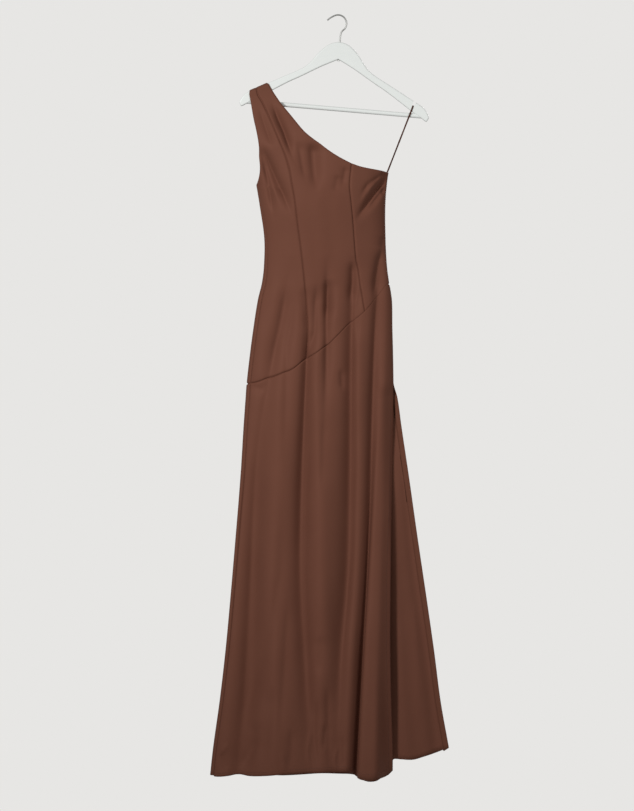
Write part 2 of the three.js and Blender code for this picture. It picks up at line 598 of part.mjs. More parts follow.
function dress() {
  const group = new THREE.Group();
  const { armhole, seam, neck } = SHOULDER;
  const hipLeftX = leftOf(HIP_SEAM[0][1]) + seamInset(HIP_SEAM[0][1]);
  const hipLeftZ = hipSeam(hipLeftX);
  const hipLeft = place(FRONT, hipLeftX, hipLeftZ);
  const hipRightZ = HIP_SEAM[HIP_SEAM.length - 1][1];
  const foot = (points) => place(FRONT, ...points[points.length - 1]);
  const strapFoot = foot(STRAP_SEAM);
  const openFoot = foot(OPEN_SEAM);
  const sideSeamLeft = ended(leftSeam(UNDERARM[1], hipLeftZ, ROWS.lower), hipLeft);
  const sideSeamRight = (turn) => edge(turn, OPEN_CORNER[1], hipRightZ, ROWS.lower);

  // Bodice front, strap side: armhole and side seam on the left, princess seam on the right.
  const hipLine = (start, to, count) => [start, ...across(start.turn, to.turn, count, hipSeam).slice(1)];
  const strapHip = hipLine(hipLeft, strapFoot, COLUMNS.strapSide);
  const strapSeam = ended(
    [...overShoulder(FRONT, seam), ...down(FRONT, ROWS.upper + ROWS.lower, [underTurn(seam), ...STRAP_SEAM])],
    strapHip[COLUMNS.strapSide],
  );
  const shoulderLine = (x) => shoulder(x) + TURN_LOSS;
  const shoulderTop = (side, from, to, count) => {
    const [start, end] = [from, to].map(({ over }) => turnAt(side, over, shoulderLine(over)));
    return across(start, end, count, shoulderLine);
  };
  const armholeLine = (side, points) => [
    ...overShoulder(side, armhole),
    ...down(side, ROWS.upper, [underTurn(armhole), ...points, UNDERARM]),
  ];
  const strapGrid = patch(
    [...armholeLine(FRONT, ARMHOLE), ...sideSeamLeft],
    strapSeam,
    shoulderTop(FRONT, armhole, seam, COLUMNS.strapSide),
    strapHip,
  );
  group.add(piece("bodice_front_strap_side", strapGrid, { left: true, right: true, top: true, bottom: true }));

  // Bodice front, centre: princess seam, then the neckline and the other princess seam.
  const centreHip = hipLine(strapHip[COLUMNS.strapSide], openFoot, COLUMNS.centre);
  const openSeam = ended(down(FRONT, ROWS.lower, [NECK_SEAM, ...OPEN_SEAM]), centreHip[COLUMNS.centre]);
  const neckLine = down(FRONT, ROWS.upper, [underTurn(neck), ...NECK, NECK_SEAM]);
  const centreGrid = patch(
    strapSeam,
    [...overShoulder(FRONT, neck), ...neckLine, ...openSeam],
    shoulderTop(FRONT, seam, neck, COLUMNS.centre),
    centreHip,
  );
  group.add(piece("bodice_front_centre", centreGrid, { left: true, right: true, top: true, bottom: true }));

  // Bodice front, open side: princess seam to the side seam under the bare shoulder.
  const openTop = place(FRONT, ...NECK_SEAM);
  const openRim = [{ turn: -1, drop: OPEN_CORNER[1] - TURN_LOSS }, ...sideSeamRight(-1)];
  const openEdge = beforeHem(openRim);
  const openHip = hipLine(centreHip[COLUMNS.centre], openEdge[ROWS.lower], COLUMNS.openSide);
  openEdge[0].drop = neckEnd(ring(openEdge[0].turn, openEdge[0].drop).x) - TURN_LOSS;
  openEdge[ROWS.lower] = openHip[COLUMNS.openSide];
  const openNeck = across(openTop.turn, openEdge[0].turn, COLUMNS.openSide, neckEnd);
  const openGrid = withHem(patch([openTop, ...openSeam], openEdge, openNeck, openHip), openRim);
  group.add(piece("bodice_front_open_side", openGrid, { left: true, right: true, bottom: true }));

  // Bodice back, in one piece. Its upper rows end at the neckline's steep half, and its lower
  // rows run on under the level half.
  const backRim = [{ turn: 1, drop: OPEN_CORNER[1] - TURN_LOSS }, ...sideSeamRight(1)];
  const backEdge = beforeHem(backRim);
  const backHip = hipLine(hipLeft, backEdge[ROWS.lower], COLUMNS.back);
  const hipMiddle = backHip[COLUMNS.backLeft];
  const { x, z } = ring(hipMiddle.turn, hipMiddle.drop);
  const middleLine = ended(down(BACK, ROWS.lower, [NECK_BACK_MIDDLE, [x, z]]), hipMiddle);
  const steepNeck = down(BACK, ROWS.upper, [underTurn(neck), ...NECK_BACK, NECK_BACK_MIDDLE]);
  const leftGrid = patch(
    [...armholeLine(BACK, ARMHOLE_BACK), ...sideSeamLeft],
    [...overShoulder(BACK, neck), ...steepNeck, ...middleLine],
    shoulderTop(BACK, armhole, neck, COLUMNS.backLeft),
    backHip.slice(0, COLUMNS.backLeft + 1),
  );
  const neckEndX = ring(backEdge[0].turn, backEdge[0].drop).x;
  const levelLine = [NECK_BACK_MIDDLE, ...NECK_BACK_END, [neckEndX, OPEN_CORNER[1]]];
  const levelNeck = [steepNeck[ROWS.upper - 1], ...down(BACK, COLUMNS.back - COLUMNS.backLeft, levelLine)];
  backEdge[0] = levelNeck[levelNeck.length - 1];
  backEdge[ROWS.lower] = backHip[COLUMNS.back];
  const rightGrid = withHem(
    patch([levelNeck[0], ...middleLine], backEdge, levelNeck, backHip.slice(COLUMNS.backLeft)),
    backRim,
  );
  const upperRows = ROWS.turn + ROWS.upper;
  const backGrid = leftGrid.map((row, j) => {
    return j < upperRows ? row : [...row, ...rightGrid[j - upperRows].slice(1)];
  });
  group.add(piece("bodice_back", backGrid, { left: true, right: true, top: true, bottom: true }));

  // Skirt front and back, open down the right side under the slit's top.
  const skirtRows = ROWS.sideSeam + ROWS.slit;
  const skirt = (name, side, top, hem, guides) => {
    const hemEnd = hem(side.right(HEM_LEVEL));
    const rim = [
      { turn: side.sign, drop: hipRightZ - TURN_LOSS },
      ...edge(side.sign, hipRightZ, SLIT_TOP, ROWS.sideSeam),
      ...edge(side.sign, SLIT_TOP, hemEnd, ROWS.slit),
    ];
    const before = beforeHem(rim);
    before[0] = top[top.length - 1];
    const left = [hipLeft, ...leftSeam(hipLeftZ, HEM_FRONT[0][1], skirtRows)];
    const hemX = ring(before[skirtRows].turn, before[skirtRows].drop).x;
    before[skirtRows] = { turn: before[skirtRows].turn, drop: hem(hemX) - TURN_LOSS };
    const grid = withHem(skirtGrid(side, left, before, top, hem, guides), rim);
    const cut = grid.map((row, j) => (j > ROWS.sideSeam ? row : null));
    group.add(piece(name, grid, { left: true, right: true, top: true }));
    const strip = cut.filter(Boolean).map((row) => row.slice(-1 - COLUMNS.turnedHem));
    const under = CLOTH + SEAM_GAP;
    const stripGrid = seamed(strip, { right: true });
    group.add(
      named(name.replace("skirt", "slit_hem"), wallGeometry(stripGrid, under, under + TURNED_CLOTH), satin),
    );
  };
  const frontHip = [...strapHip, ...centreHip.slice(1), ...openHip.slice(1)];
  skirt("skirt_front", FRONT, frontHip, hemFront, FRONT_GUIDES);
  skirt("skirt_back", BACK, backHip, hemBack, BACK_GUIDES);
  return group;
}

// Turns a geometry into a solid for cutting, and back.
function solid(geometry) {
  const bare = geometry.clone();
  for (const name of ["normal", "uv"]) bare.deleteAttribute(name);
  const merged = mergeVertices(bare, 1e-4);
  const vertProperties = merged.attributes.position.array;
  const triVerts = new Uint32Array(merged.index.array);
  return new wasm.Manifold(new wasm.Mesh({ numProp: 3, vertProperties, triVerts }));
}
function geometryOf(body) {
  const mesh = body.getMesh();
  const geometry = new THREE.BufferGeometry();
  geometry.setAttribute("position", new THREE.BufferAttribute(mesh.vertProperties, 3));
  geometry.setIndex(new THREE.BufferAttribute(mesh.triVerts, 1));
  geometry.computeVertexNormals();
  return geometry;
}

// The hanger loop runs up from inside the open corner, over the arm and down again.
const LOOP_FOOT = new THREE.Vector3(109.5, 0, -356);
const LOOP_TOP = new THREE.Vector3(169.4, 0, -202.3);
const LOOP_INSIDE = 12; // length sewn inside the corner
const LOOP_OVER_ARM = 24; // height of the stretch that lies against the arm
const loopUp = LOOP_TOP.clone().sub(LOOP_FOOT);
const loopRise = loopUp.length();
loopUp.normalize();
const loopAcross = loopUp.clone().cross(new THREE.Vector3(0, 1, 0));
const NOTCH_RADIUS = 3;
const NOTCH_DEPTH = 1.15; // under the loop's underside

function hangerLoop() {
  const half = LOOP_THICKNESS / 2;
  const beside = HANGER_DEPTH / 2 + SEAM_GAP + half;
  const top = loopRise - half;
  const bend = 1.4; // the ribbon's bend over each edge of the arm
  const corner = Array.from({ length: 5 }, (_, k) => {
    const angle = (k * Math.PI) / 8;
    return [top - bend + bend * Math.sin(angle), beside - bend + bend * Math.cos(angle)];
  });
  const run = [[-LOOP_INSIDE, 0.8], [0, 0.9], [loopRise - LOOP_OVER_ARM, beside], ...corner];
  const back = run.map(([up, y]) => [up, -y]).reverse();
  const route = [...run, ...back].map(([up, y]) => new THREE.Vector2(up, y));
  const offset = (amount) =>
    route.map((point, k) => {
      const way = route[Math.min(k + 1, route.length - 1)].clone().sub(route[Math.max(k - 1, 0)]).normalize();
      return new THREE.Vector2(point.x - way.y * amount, point.y + way.x * amount);
    });
  const outline = new THREE.Shape([...offset(half), ...offset(-half).reverse()]);
  const geometry = new THREE.ExtrudeGeometry(outline, { depth: LOOP_WIDTH, bevelEnabled: false });
  const mesh = named("hanger_loop", geometry, ribbon);
  const frame = new THREE.Matrix4().makeBasis(loopUp, new THREE.Vector3(0, 1, 0), loopAcross);
  mesh.quaternion.setFromRotationMatrix(frame);
  mesh.position.copy(LOOP_FOOT).addScaledVector(loopAcross, -LOOP_WIDTH / 2);
  return mesh;
}

// The arms in their own frame: X along the bar, Y up, Z to the front.
function armsOutline() {
  const point = ([x, y]) => new THREE.Vector2(x, y);
  const mirrored = ([x, y]) => new THREE.Vector2(-x, y);
  const shape = new THREE.Shape();
  const tip = ARM_TOP[ARM_TOP.length - 1];
  shape.moveTo(-tip[0], tip[1]);
  const leftTop = ARM_TOP.slice(0, -1).reverse().map(mirrored);
  shape.splineThru([...leftTop, new THREE.Vector2(0, 0), ...ARM_TOP.map(point)]);
  shape.splineThru(ARM_UNDER.map(point));
  shape.splineThru([...ARM_UNDER.slice(0, -1).reverse().map(mirrored), mirrored(tip)]);
  return shape;
}

function hanger() {
  const group = new THREE.Group();
  group.quaternion.setFromRotationMatrix(
    new THREE.Matrix4().makeBasis(hangerX, hangerUp, hangerX.clone().cross(hangerUp)),
  );
  group.position.copy(crest);

  const flat = HANGER_DEPTH - 2 * HANGER_ROUNDING;
  const blank = new THREE.ExtrudeGeometry(armsOutline(), {
    depth: flat, steps: 1, curveSegments: 2, bevelSegments: 2,
    bevelSize: HANGER_ROUNDING, bevelOffset: -HANGER_ROUNDING, bevelThickness: HANGER_ROUNDING,
  });
  blank.translate(0, 0, -flat / 2);
  const rod = (radius, length) => new THREE.CylinderGeometry(radius, radius, length, ROD_FACETS);
  const stemHole = rod(WIRE_RADIUS + STEM_CLEARANCE, 3 * CREST_HEIGHT);
  const barHole = rod(BAR_RADIUS + SEAM_GAP, 2 * (BAR_REACH + SEAM_GAP));
  barHole.rotateZ(Math.PI / 2).translate(0, -BAR_DROP, 0);
  let wood = solid(blank).subtract(solid(stemHole)).subtract(solid(barHole));
  for (const side of [1, -1]) wood = wood.subtract(solid(notch(side)));
  group.add(named("hanger_wood", geometryOf(wood), paintedWood));

  const bar = rod(BAR_RADIUS, 2 * BAR_REACH);
  bar.rotateZ(Math.PI / 2).translate(0, -BAR_DROP, 0);
  group.add(named("hanger_bar", bar, paintedWood));
  group.add(hook());
  return group;
}

// A strap notch in an arm's upper edge, under the loop's top; its mirror is on the other arm.
function notch(side) {
  const height = loopRise - LOOP_THICKNESS - NOTCH_DEPTH;
  const bottom = LOOP_FOOT.clone().addScaledVector(loopUp, height).sub(crest);
  const [x, up] = [bottom.dot(hangerX), bottom.dot(hangerUp)];
  const lean = Math.atan2(loopUp.dot(hangerX), loopUp.dot(hangerUp));
  const outline = new THREE.Shape();
  outline.moveTo(-NOTCH_RADIUS, 2 * HANGER_DEPTH);
  outline.lineTo(-NOTCH_RADIUS, NOTCH_RADIUS);
  outline.absarc(0, NOTCH_RADIUS, NOTCH_RADIUS, Math.PI, 2 * Math.PI, false);
  outline.lineTo(NOTCH_RADIUS, 2 * HANGER_DEPTH);
  const settings = { depth: 2 * HANGER_DEPTH, bevelEnabled: false, curveSegments: 6 };
  const cutter = new THREE.ExtrudeGeometry(outline, settings);
  return cutter.translate(0, 0, -HANGER_DEPTH).rotateZ(-side * lean).translate(side * x, up, 0);
}

// The wire hook: a round crown, a flared tip, and a stem through the wood with a small head.
function hook() {
  const arc = (degrees) => {
    const angle = THREE.MathUtils.degToRad(degrees);
    return [HOOK_CENTRE.x + HOOK_RADIUS * Math.cos(angle), HOOK_CENTRE.y + HOOK_RADIUS * Math.sin(angle)];
  };
  const crown = Array.from({ length: 9 }, (_, k) => arc(-30 + 18.5 * k));
  const stem = [[0, -CREST_HEIGHT - 2.5], [0, -20], [0, 0], [0, 8], [0.2, 16], [2.2, 24]];
  const tip = [[-26.5, 52.3], [-32.3, 46.9]];
  const points = [...stem, ...crown, ...tip].map(([x, y]) => new THREE.Vector3(x, y, 0));
  const route = new THREE.CatmullRomCurve3(points);
  const section = new THREE.Shape();
  section.absarc(0, 0, WIRE_RADIUS, 0, 2 * Math.PI, false);
  const bent = new THREE.ExtrudeGeometry(section, {
    extrudePath: route, steps: 48, curveSegments: 7, bevelEnabled: false,
  });
  const head = new THREE.CylinderGeometry(2.6, 2.6, 2, 12);
  head.translate(0, -CREST_HEIGHT - 2.9, 0);
  return named("hanger_hook", geometryOf(solid(bent).add(solid(head))), wire);
}

const part = new THREE.Group();
part.add(dress(), hangerLoop(), hanger());
export default part;
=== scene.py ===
import math

import bpy
import numpy as np
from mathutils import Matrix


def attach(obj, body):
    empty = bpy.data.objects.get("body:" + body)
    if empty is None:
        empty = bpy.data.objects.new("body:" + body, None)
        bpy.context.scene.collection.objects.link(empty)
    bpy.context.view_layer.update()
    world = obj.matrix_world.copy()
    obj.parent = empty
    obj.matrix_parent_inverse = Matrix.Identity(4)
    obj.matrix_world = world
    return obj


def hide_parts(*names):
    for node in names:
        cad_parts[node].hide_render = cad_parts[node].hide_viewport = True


MM = 0.001
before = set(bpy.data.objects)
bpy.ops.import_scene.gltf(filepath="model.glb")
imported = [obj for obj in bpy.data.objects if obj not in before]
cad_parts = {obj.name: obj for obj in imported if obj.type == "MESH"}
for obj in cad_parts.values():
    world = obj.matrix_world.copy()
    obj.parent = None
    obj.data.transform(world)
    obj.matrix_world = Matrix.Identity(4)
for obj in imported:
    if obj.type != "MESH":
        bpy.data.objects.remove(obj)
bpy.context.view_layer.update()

# The camera looks along +Y at the middle of the photograph's frame.
FRAME_HEIGHT = 1824.75
FRAME_CENTRE = (-47.25, 0, -877)
CAMERA_DISTANCE = 12000
SENSOR = 36


def make_camera():
    data = bpy.data.cameras.new("studio_camera")
    data.sensor_width = SENSOR
    data.lens = SENSOR * CAMERA_DISTANCE / FRAME_HEIGHT
    camera = bpy.data.objects.new("studio_camera", data)
    camera.location = [MM * (c + o) for c, o in zip(FRAME_CENTRE, (0, -CAMERA_DISTANCE, 0))]
    camera.rotation_euler = (math.pi / 2, 0, 0)
    bpy.context.scene.collection.objects.link(camera)
    bpy.context.scene.camera = camera


make_camera()

# The dress, as in the CAD part: outline, cut lines and hanging folds
CLOTH = 0.7
TURNED_HEM = 13
SHOULDER_RADIUS = 10.4
SHOULDER_RISE = 3
SHOULDER_REACH = 150
SLIT_REACH = 500
FLAT_SIDE = 0.35

BODY = {
    "z": [-150, -250, -340, -380, -430, -500, -560, -600, -640, -700, -760, -826, -860, -925, -1036, -1166,
          -1318, -1430, -1542, -1646, -1710],
    "left": [-285, -236, -194, -184.3, -175.8, -166, -166.5, -171, -180.5, -190, -198, -205.5, -208, -212.6,
             -219.5, -230, -243, -253.5, -266.5, -281, -288],
    "right": [200, 160, 118, 110.5, 107, 107.5, 110.5, 115.5, 121.5, 122.5, 124, 125, 124.9, 124.5, 122.5,
              120, 118, 118, 120, 123, 123],
    "slit": [200, 160, 118, 110.5, 107, 107.5, 110.5, 115.5, 121.5, 122.5, 124, 125, 134, 143, 159.5, 178,
             200.5, 216.5, 231, 249.5, 261],
    "seam": [0, 0, 0, 0, 2, 5, 7, 8, 8, 8, 8, 8, 8, 8, 8, 8, 8, 8, 8, 8, 8],
    "front": [50, 54, 60, 62, 60, 51, 47, 46, 47, 49, 51, 53, 54, 54, 55, 57, 59, 61, 63, 65, 66],
    "back": [34, 36, 40, 43, 43, 41, 43, 46, 49, 52, 53, 54, 54, 54, 55, 56, 57, 58, 60, 62, 63],
}
SLIT_TOP = -826
HEM_LEVEL = -1710
SLIT_OPENS = {"front": 0.1, "back": 0.24}
# From a little under the slit's top the back comes forwards, over these lengths down and across
SLIT_DRAWN = {"front": 0, "back": 38, "under": 20, "down": 220, "from": 70, "over": 70}
# Beside the slit both lie flatter, by this share of their depth
SLIT_FLAT = {"front": 0.3, "back": 0.7, "under": 0, "down": 34, "from": 80, "over": 40}

UNDERARM = (-184.3, -380)
OPEN_CORNER = (114.1, -354)
ARMHOLE = [(-197, -192), (-190.4, -231), (-183.4, -264), (-178.6, -295), (-176.4, -327), (-177.8, -355)]
ARMHOLE_BACK = [(-192, -192), (-183, -231), (-175, -264), (-170, -295), (-168.5, -327), (-172, -355)]
NECK = [(-144.9, -172.6), (-128.5, -197), (-106.7, -224.3), (-76.7, -261.2), (-52.2, -281.7), (-25, -302.2),
        (2.5, -319.7)]
NECK_SEAM = (31.1, -334.5)
NECK_END = [(50, -341), (70.4, -345.2), (97.9, -349.9)]
NECK_BACK = [(-148, -173), (-136, -200), (-117, -234), (-92, -270), (-62, -300), (-28, -324)]
NECK_BACK_MIDDLE = (10, -343)
NECK_BACK_END = [(50, -354), (85, -357)]
STRAP_SEAM = [(-178.9, -180.7), (-168.8, -198), (-147.6, -247.5), (-133.9, -277.4), (-120.4, -310.3),
              (-109.4, -348.5), (-104, -381), (-97.2, -422), (-90.2, -476.6), (-82.4, -535.3), (-75.2, -598.3),
              (-70.9, -658.6), (-68.4, -716), (-70.9, -771.5)]
OPEN_SEAM = [(27.5, -362), (26.3, -384), (29.7, -416.7), (33.8, -457.4), (36.9, -500.9), (41.2, -552.4),
             (48.4, -601.2), (55.6, -641.5), (61.2, -666.5)]
# Where they cross the shoulder line, and where they leave the bend under it
SHOULDER_X = {"armhole": (-201.2, -199.5), "seam": (-185.6, -182), "neck": (-159.3, -153.6)}
HIP_SEAM = [(-205.7, -828), (-182.7, -824.6), (-156.8, -815.2), (-128.3, -805.1), (-99.5, -793.6),
            (-70.9, -771.8), (-30.6, -747), (0.9, -719), (26.8, -694), (61.2, -666.8), (87.1, -636),
            (101.5, -617.5), (116, -603)]
HEM_FRONT = [(-288, -1708), (-273, -1711), (-247, -1709), (-224, -1705), (-199, -1708.5), (-161, -1707),
             (-120, -1703), (-50, -1700), (6, -1698), (30, -1701), (48, -1714), (72, -1716.5), (100, -1711.5),
             (115, -1705), (123, -1697)]
HEM_BACK = [(-288, -1708), (-240, -1710), (-160, -1711), (-109, -1712), (-12, -1709), (36, -1711), (53, -1722),
            (73, -1727), (93, -1721), (110, -1695), (124, -1674), (141, -1673), (171, -1674), (193, -1668.5),
            (223, -1659.5), (262, -1647)]

# Falls hang down the skirt: x and rise at these heights, half width at top and hem, and
# lean for a crest that lies over its neighbour.
FALL_Z = [-540, -660, -780, -900, -1050, -1250, -1480, -1715]
LEVEL = [0] * 8
FRONT_FALLS = [
    # name, x, half widths on its left and right, rise, lean
    ("side trough", [-105, -121, -146, -168, -185, -194, -205, -224], (13, 26), (20, 40),
     [0, -5, -9, -9, -14, -20, -24, -24], LEVEL),
    ("side crest", [-100, -110, -118, -131, -142, -150, -146, -150], (22, 34), (22, 34),
     [0, 0, 2, 3, 4, 5, 5, 5], LEVEL),
    ("seam trough", [-71, -70, -71, -76, -82, -85, -74, -64], (9, 32), (12, 28),
     [0, -4, -20, -22, -22, -22, -22, -16], LEVEL),
    ("hip trough", [-24, -26, -26, -29, -31, -31, -31, -31], (8, 10), (12, 18),
     [0, -14, -14, -3, 0, 0, 0, 0], LEVEL),
    ("middle crest", [0, -2, -48, -46, -40, -36, -38, -45], (14, 32), (14, 32),
     [0, 1, 2, 4, 5, 6, 6, 5], LEVEL),
    ("middle trough", [40, 31, 29, 28, 26, 21, 4, -2], (14, 32), (9, 28),
     [0, -16, -22, -22, -22, -22, -20, -15], LEVEL),
    ("narrow crest", [50, 46, 45, 42, 38, 36, 24, 14], (12, 16), (12, 16), [0, 1, 2, 3, 3, 4, 5, 6], LEVEL),
    ("deep crease", [99, 86, 80, 76, 71, 63, 50, 38], (9, 11), (14, 11),
     [0, -12, -17, -19, -21, -24, -27, -29], [0, 0, 0, 0, 2, 4, 5, 5]),
    ("overlapping lip", [110, 100, 95, 92, 86, 77, 66, 54], (9, 11), (9, 11),
     [0, 0, 0, 2, 4, 6, 8, 8], [0, 0, 0, 0, -4, -8, -11, -11]),
    ("slit crest", [108, 104, 103, 102, 98, 92, 86, 80], (12, 28), (12, 28),
     [0, 2, 4, 6, 9, 13, 18, 22], LEVEL),
]
BACK_FALLS = [
    ("side crest", [-120, -130, -140, -155, -170, -185, -200, -215], (24, 34), (24, 34),
     [0, 4, 7, 9, 11, 13, 14, 15], LEVEL),
    ("side trough", [-70, -76, -84, -95, -104, -112, -122, -130], (15, 24), (15, 24),
     [0, -5, -9, -12, -14, -16, -18, -18], LEVEL),
    ("middle crest", [-30, -30, -32, -36, -38, -40, -42, -44], (22, 32), (22, 32),
     [0, 4, 7, 9, 11, 13, 14, 14], LEVEL),
    ("middle trough", [20, 20, 19, 18, 16, 14, 12, 10], (14, 20), (14, 20),
     [0, -5, -9, -12, -14, -15, -16, -16], LEVEL),
    ("hollow behind the slit crest", [70, 72, 74, 76, 76, 75, 74, 74], (16, 24), (16, 24),
     [0, 0, -2, -4, -6, -8, -12, -16], LEVEL),
    ("outer trough", [90, 95, 100, 108, 120, 130, 142, 155], (12, 20), (12, 20),
     [0, 0, 0, -2, -4, -6, -8, -10], LEVEL),
    ("outer crest", [105, 110, 115, 125, 150, 172, 204, 230], (10, 18), (10, 18),
     [0, 0, 0, 2, 4, 6, 7, 8], LEVEL),
]
# Drags pull across the bodice: from, to, half width and rise
FRONT_DRAGS = [
    ((108, -364), (40, -463), 9, -9),
    ((-178, -300), (-106, -450), 10, -8),
    ((-146, -200), (-106, -311), 8, -5),
    ((-54, -296), (-52, -409), 15, -6),
]
BACK_DRAGS = [((98, -388), (28, -490), 12, -7), ((-150, -205), (-96, -400), 12, -6)]
FRONT_GUIDES = {
    "side trough": 4, "side crest": 6, "seam trough": 10, "middle crest": 14, "middle trough": 18, "narrow crest": 20,
    "deep crease": 23, "overlapping lip": 26, "slit crest": 28,
}
BACK_GUIDES = {
    "side crest": 4, "side trough": 7, "middle crest": 10, "middle trough": 13,
    "hollow behind the slit crest": 16, "outer trough": 19, "outer crest": 22,
}

# Creases are finer than the solids' folds. Each is a line of x, z points, its half widths
# on the left and right in mm, and its depth, less than nothing for a trough.
FRONT_CREASES = [
    # from the open corner, down and in
    ([(108, -367), (86, -393), (64, -425), (42, -459)], 3.2, 4.4, -8.6),
    ([(107, -375), (84, -404), (63, -434), (52, -450)], 3, 3, 2.6),
    ([(108, -383), (86, -413), (66, -438)], 2.8, 4.2, -7),
    ([(104, -360), (82, -378), (62, -402), (50, -425)], 3, 3, 1.8),
    ([(101, -357), (66, -382), (49, -411)], 3.6, 5.2, -4.9),
    ([(108, -390), (98, -405)], 3, 4.8, -3.8),
    ([(100, -352), (98, -364)], 2.4, 3, -3.4),
    ([(106, -354), (103, -366)], 2.4, 3, -3.4),
    ([(111, -357), (108, -370)], 2.4, 3, -2.9),
    # from the underarm and the armhole
    ([(-171, -291), (-158, -323), (-141, -364), (-121, -408), (-104, -452)], 4.8, 9.6, -11.4),
    ([(-169, -325), (-158, -369), (-151, -413), (-145, -452)], 4.8, 7.2, -8.3),
    ([(-164, -330), (-148, -376), (-132, -424)], 4.8, 4.8, 2.2),
    # down the strap
    ([(-148, -196), (-136, -230), (-121, -264), (-107, -306), (-99.5, -328)], 4.8, 9.6, -12.5),
    ([(-177.5, -208), (-165, -247), (-146, -301)], 6, 7.2, -6.2),
    ([(-162, -200), (-150, -232), (-135, -268)], 6, 6, 1.9),
    # soft verticals over the bust
    ([(-90, -281), (-82, -330), (-73, -379)], 6, 10.8, -6.2),
    ([(-59, -281), (-58, -315), (-53, -364), (-46, -401)], 10.8, 18, -10.4),
    ([(0.5, -359), (-9, -403)], 7.2, 10.8, -4.2),
    ([(18, -340), (8, -389)], 6, 8.4, -4.9),
    ([(103, -496), (97, -527)], 7.2, 9.6, -4.2),
    # over the hip, above and through the slanting seam
    ([(101, -519), (91, -550), (84, -590), (80, -640)], 6, 10.8, -10.4),
    ([(32, -550), (31, -602), (26, -655)], 7.2, 7.2, -9.4),
    ([(-24, -590), (-24, -641), (-26, -690)], 6, 10.8, -9.4),
    ([(-46, -600), (-51, -651), (-53, -712), (-61, -745), (-73, -772)], 8.4, 12, -10.4),
    ([(-77, -606), (-74, -660), (-70, -720)], 7.2, 10.8, -5.5),
    ([(50, -606), (44, -660), (45, -745)], 6, 8.4, -4.5),
    ([(-114, -600), (-121, -645), (-132, -700), (-142, -745), (-156, -820)], 10.8, 15.6, -8.3),
    ([(-94, -615), (-103, -680), (-115, -745), (-117, -850), (-121, -1000)], 9.6, 13.2, -5.5),
    ([(-204, -834), (-182, -838), (-162, -846)], 7.2, 9.6, -4.5),
    ([(7, -795), (9, -845)], 4.8, 6, -4.9),
    ([(-32, -900), (-36, -1080)], 7.2, 10.8, -3.4),
    # down the skirt
    ([(-124, -1090), (-128, -1250), (-146, -1350), (-173, -1450), (-205, -1560), (-222, -1690)], 16.8, 21.6, -7.2),
    ([(-112, -1300), (-119, -1450), (-126, -1550), (-133, -1650)], 10.8, 14.4, -6.2),
    ([(-40, -1390), (-44, -1490)], 10.8, 14.4, -4.2),
    ([(122, -940), (120, -1120), (119, -1350), (121, -1560), (124, -1716)], 20, 12, 11),
    # near the hem
    ([(-170, -960), (-180, -1120), (-186, -1300), (-191, -1500), (-200, -1620), (-208, -1716)], 34, 20, -14),
    ([(-64, -850), (-71, -1050), (-75, -1250), (-70, -1400), (-64, -1560), (-58, -1712)], 26, 12, -10),
    ([(38, -840), (34, -1050), (30, -1200), (16, -1350), (3, -1480), (0, -1560)], 22, 9, -8),
    ([(-24, -1500), (-22, -1600), (-20, -1702)], 12, 10, -6.5),
    ([(-60, -1600), (-68, -1650), (-64, -1703)], 5, 6, 2.2),
    ([(-2, -1640), (-8, -1670), (-4, -1700)], 4, 5, 2),
    ([(-128, -1650), (-122, -1680), (-124, -1704)], 5, 6, 2),
    ([(-148, -1500), (-156, -1560), (-162, -1620), (-170, -1705)], 9.6, 13.2, -8.3),
    ([(-186, -1580), (-192, -1640), (-205, -1705)], 8.4, 10.8, -7),
    ([(-219, -1695), (-196, -1655), (-174, -1620)], 6, 13.2, -5.9),
    ([(-104, -1600), (-108, -1700)], 7.2, 9.6, -4.5),
    ([(-49, -1530), (-54, -1620), (-45, -1702)], 8.4, 12, -7.5),
    ([(-28, -1590), (-34, -1655)], 6, 8.4, -4.2),
    ([(8, -1700), (6, -1655), (10, -1610)], 7.2, 9.6, -3.8),
    ([(-268, -1661), (-255, -1648), (-243, -1636)], 3.6, 3.6, 2.2),
    ([(-262, -1655), (-252, -1700)], 6, 8.4, -4.2),
]
BACK_CREASES = [
    ([(108, -372), (80, -410), (44, -452)], 4, 8, -3.0),
    ([(-150, -205), (-128, -280), (-104, -360)], 6, 9, -2.4),
    ([(-168, -300), (-146, -360), (-120, -440)], 6, 9, -2.6),
    ([(-60, -320), (-58, -400), (-52, -470)], 10, 12, -1.8),
    ([(20, -360), (16, -430), (18, -500)], 9, 11, -1.6),
    ([(-110, -620), (-122, -720), (-130, -820)], 12, 16, -2.4),
    ([(-10, -580), (-14, -680), (-14, -780)], 10, 12, -2.0),
    ([(60, -560), (56, -650), (50, -760)], 8, 12, -2.2),
    ([(-160, -900), (-166, -1150), (-176, -1400)], 12, 16, -2.6),
    ([(-72, -880), (-80, -1100), (-88, -1350)], 10, 14, -2.2),
    ([(40, -900), (44, -1150), (46, -1450)], 9, 12, -2.4),
    ([(96, -1000), (106, -1250), (114, -1500)], 8, 12, -2.2),
    ([(170, -1300), (176, -1450), (182, -1620)], 7, 10, -2.0),
    ([(-236, -1700), (-222, -1650), (-210, -1590)], 6, 9, -1.8),
    ([(-10, -1708), (-14, -1650), (-14, -1590)], 7, 9, -1.6),
]


def smooth(share):
    t = np.clip(share, 0, 1)
    return t * t * (3 - 2 * t)


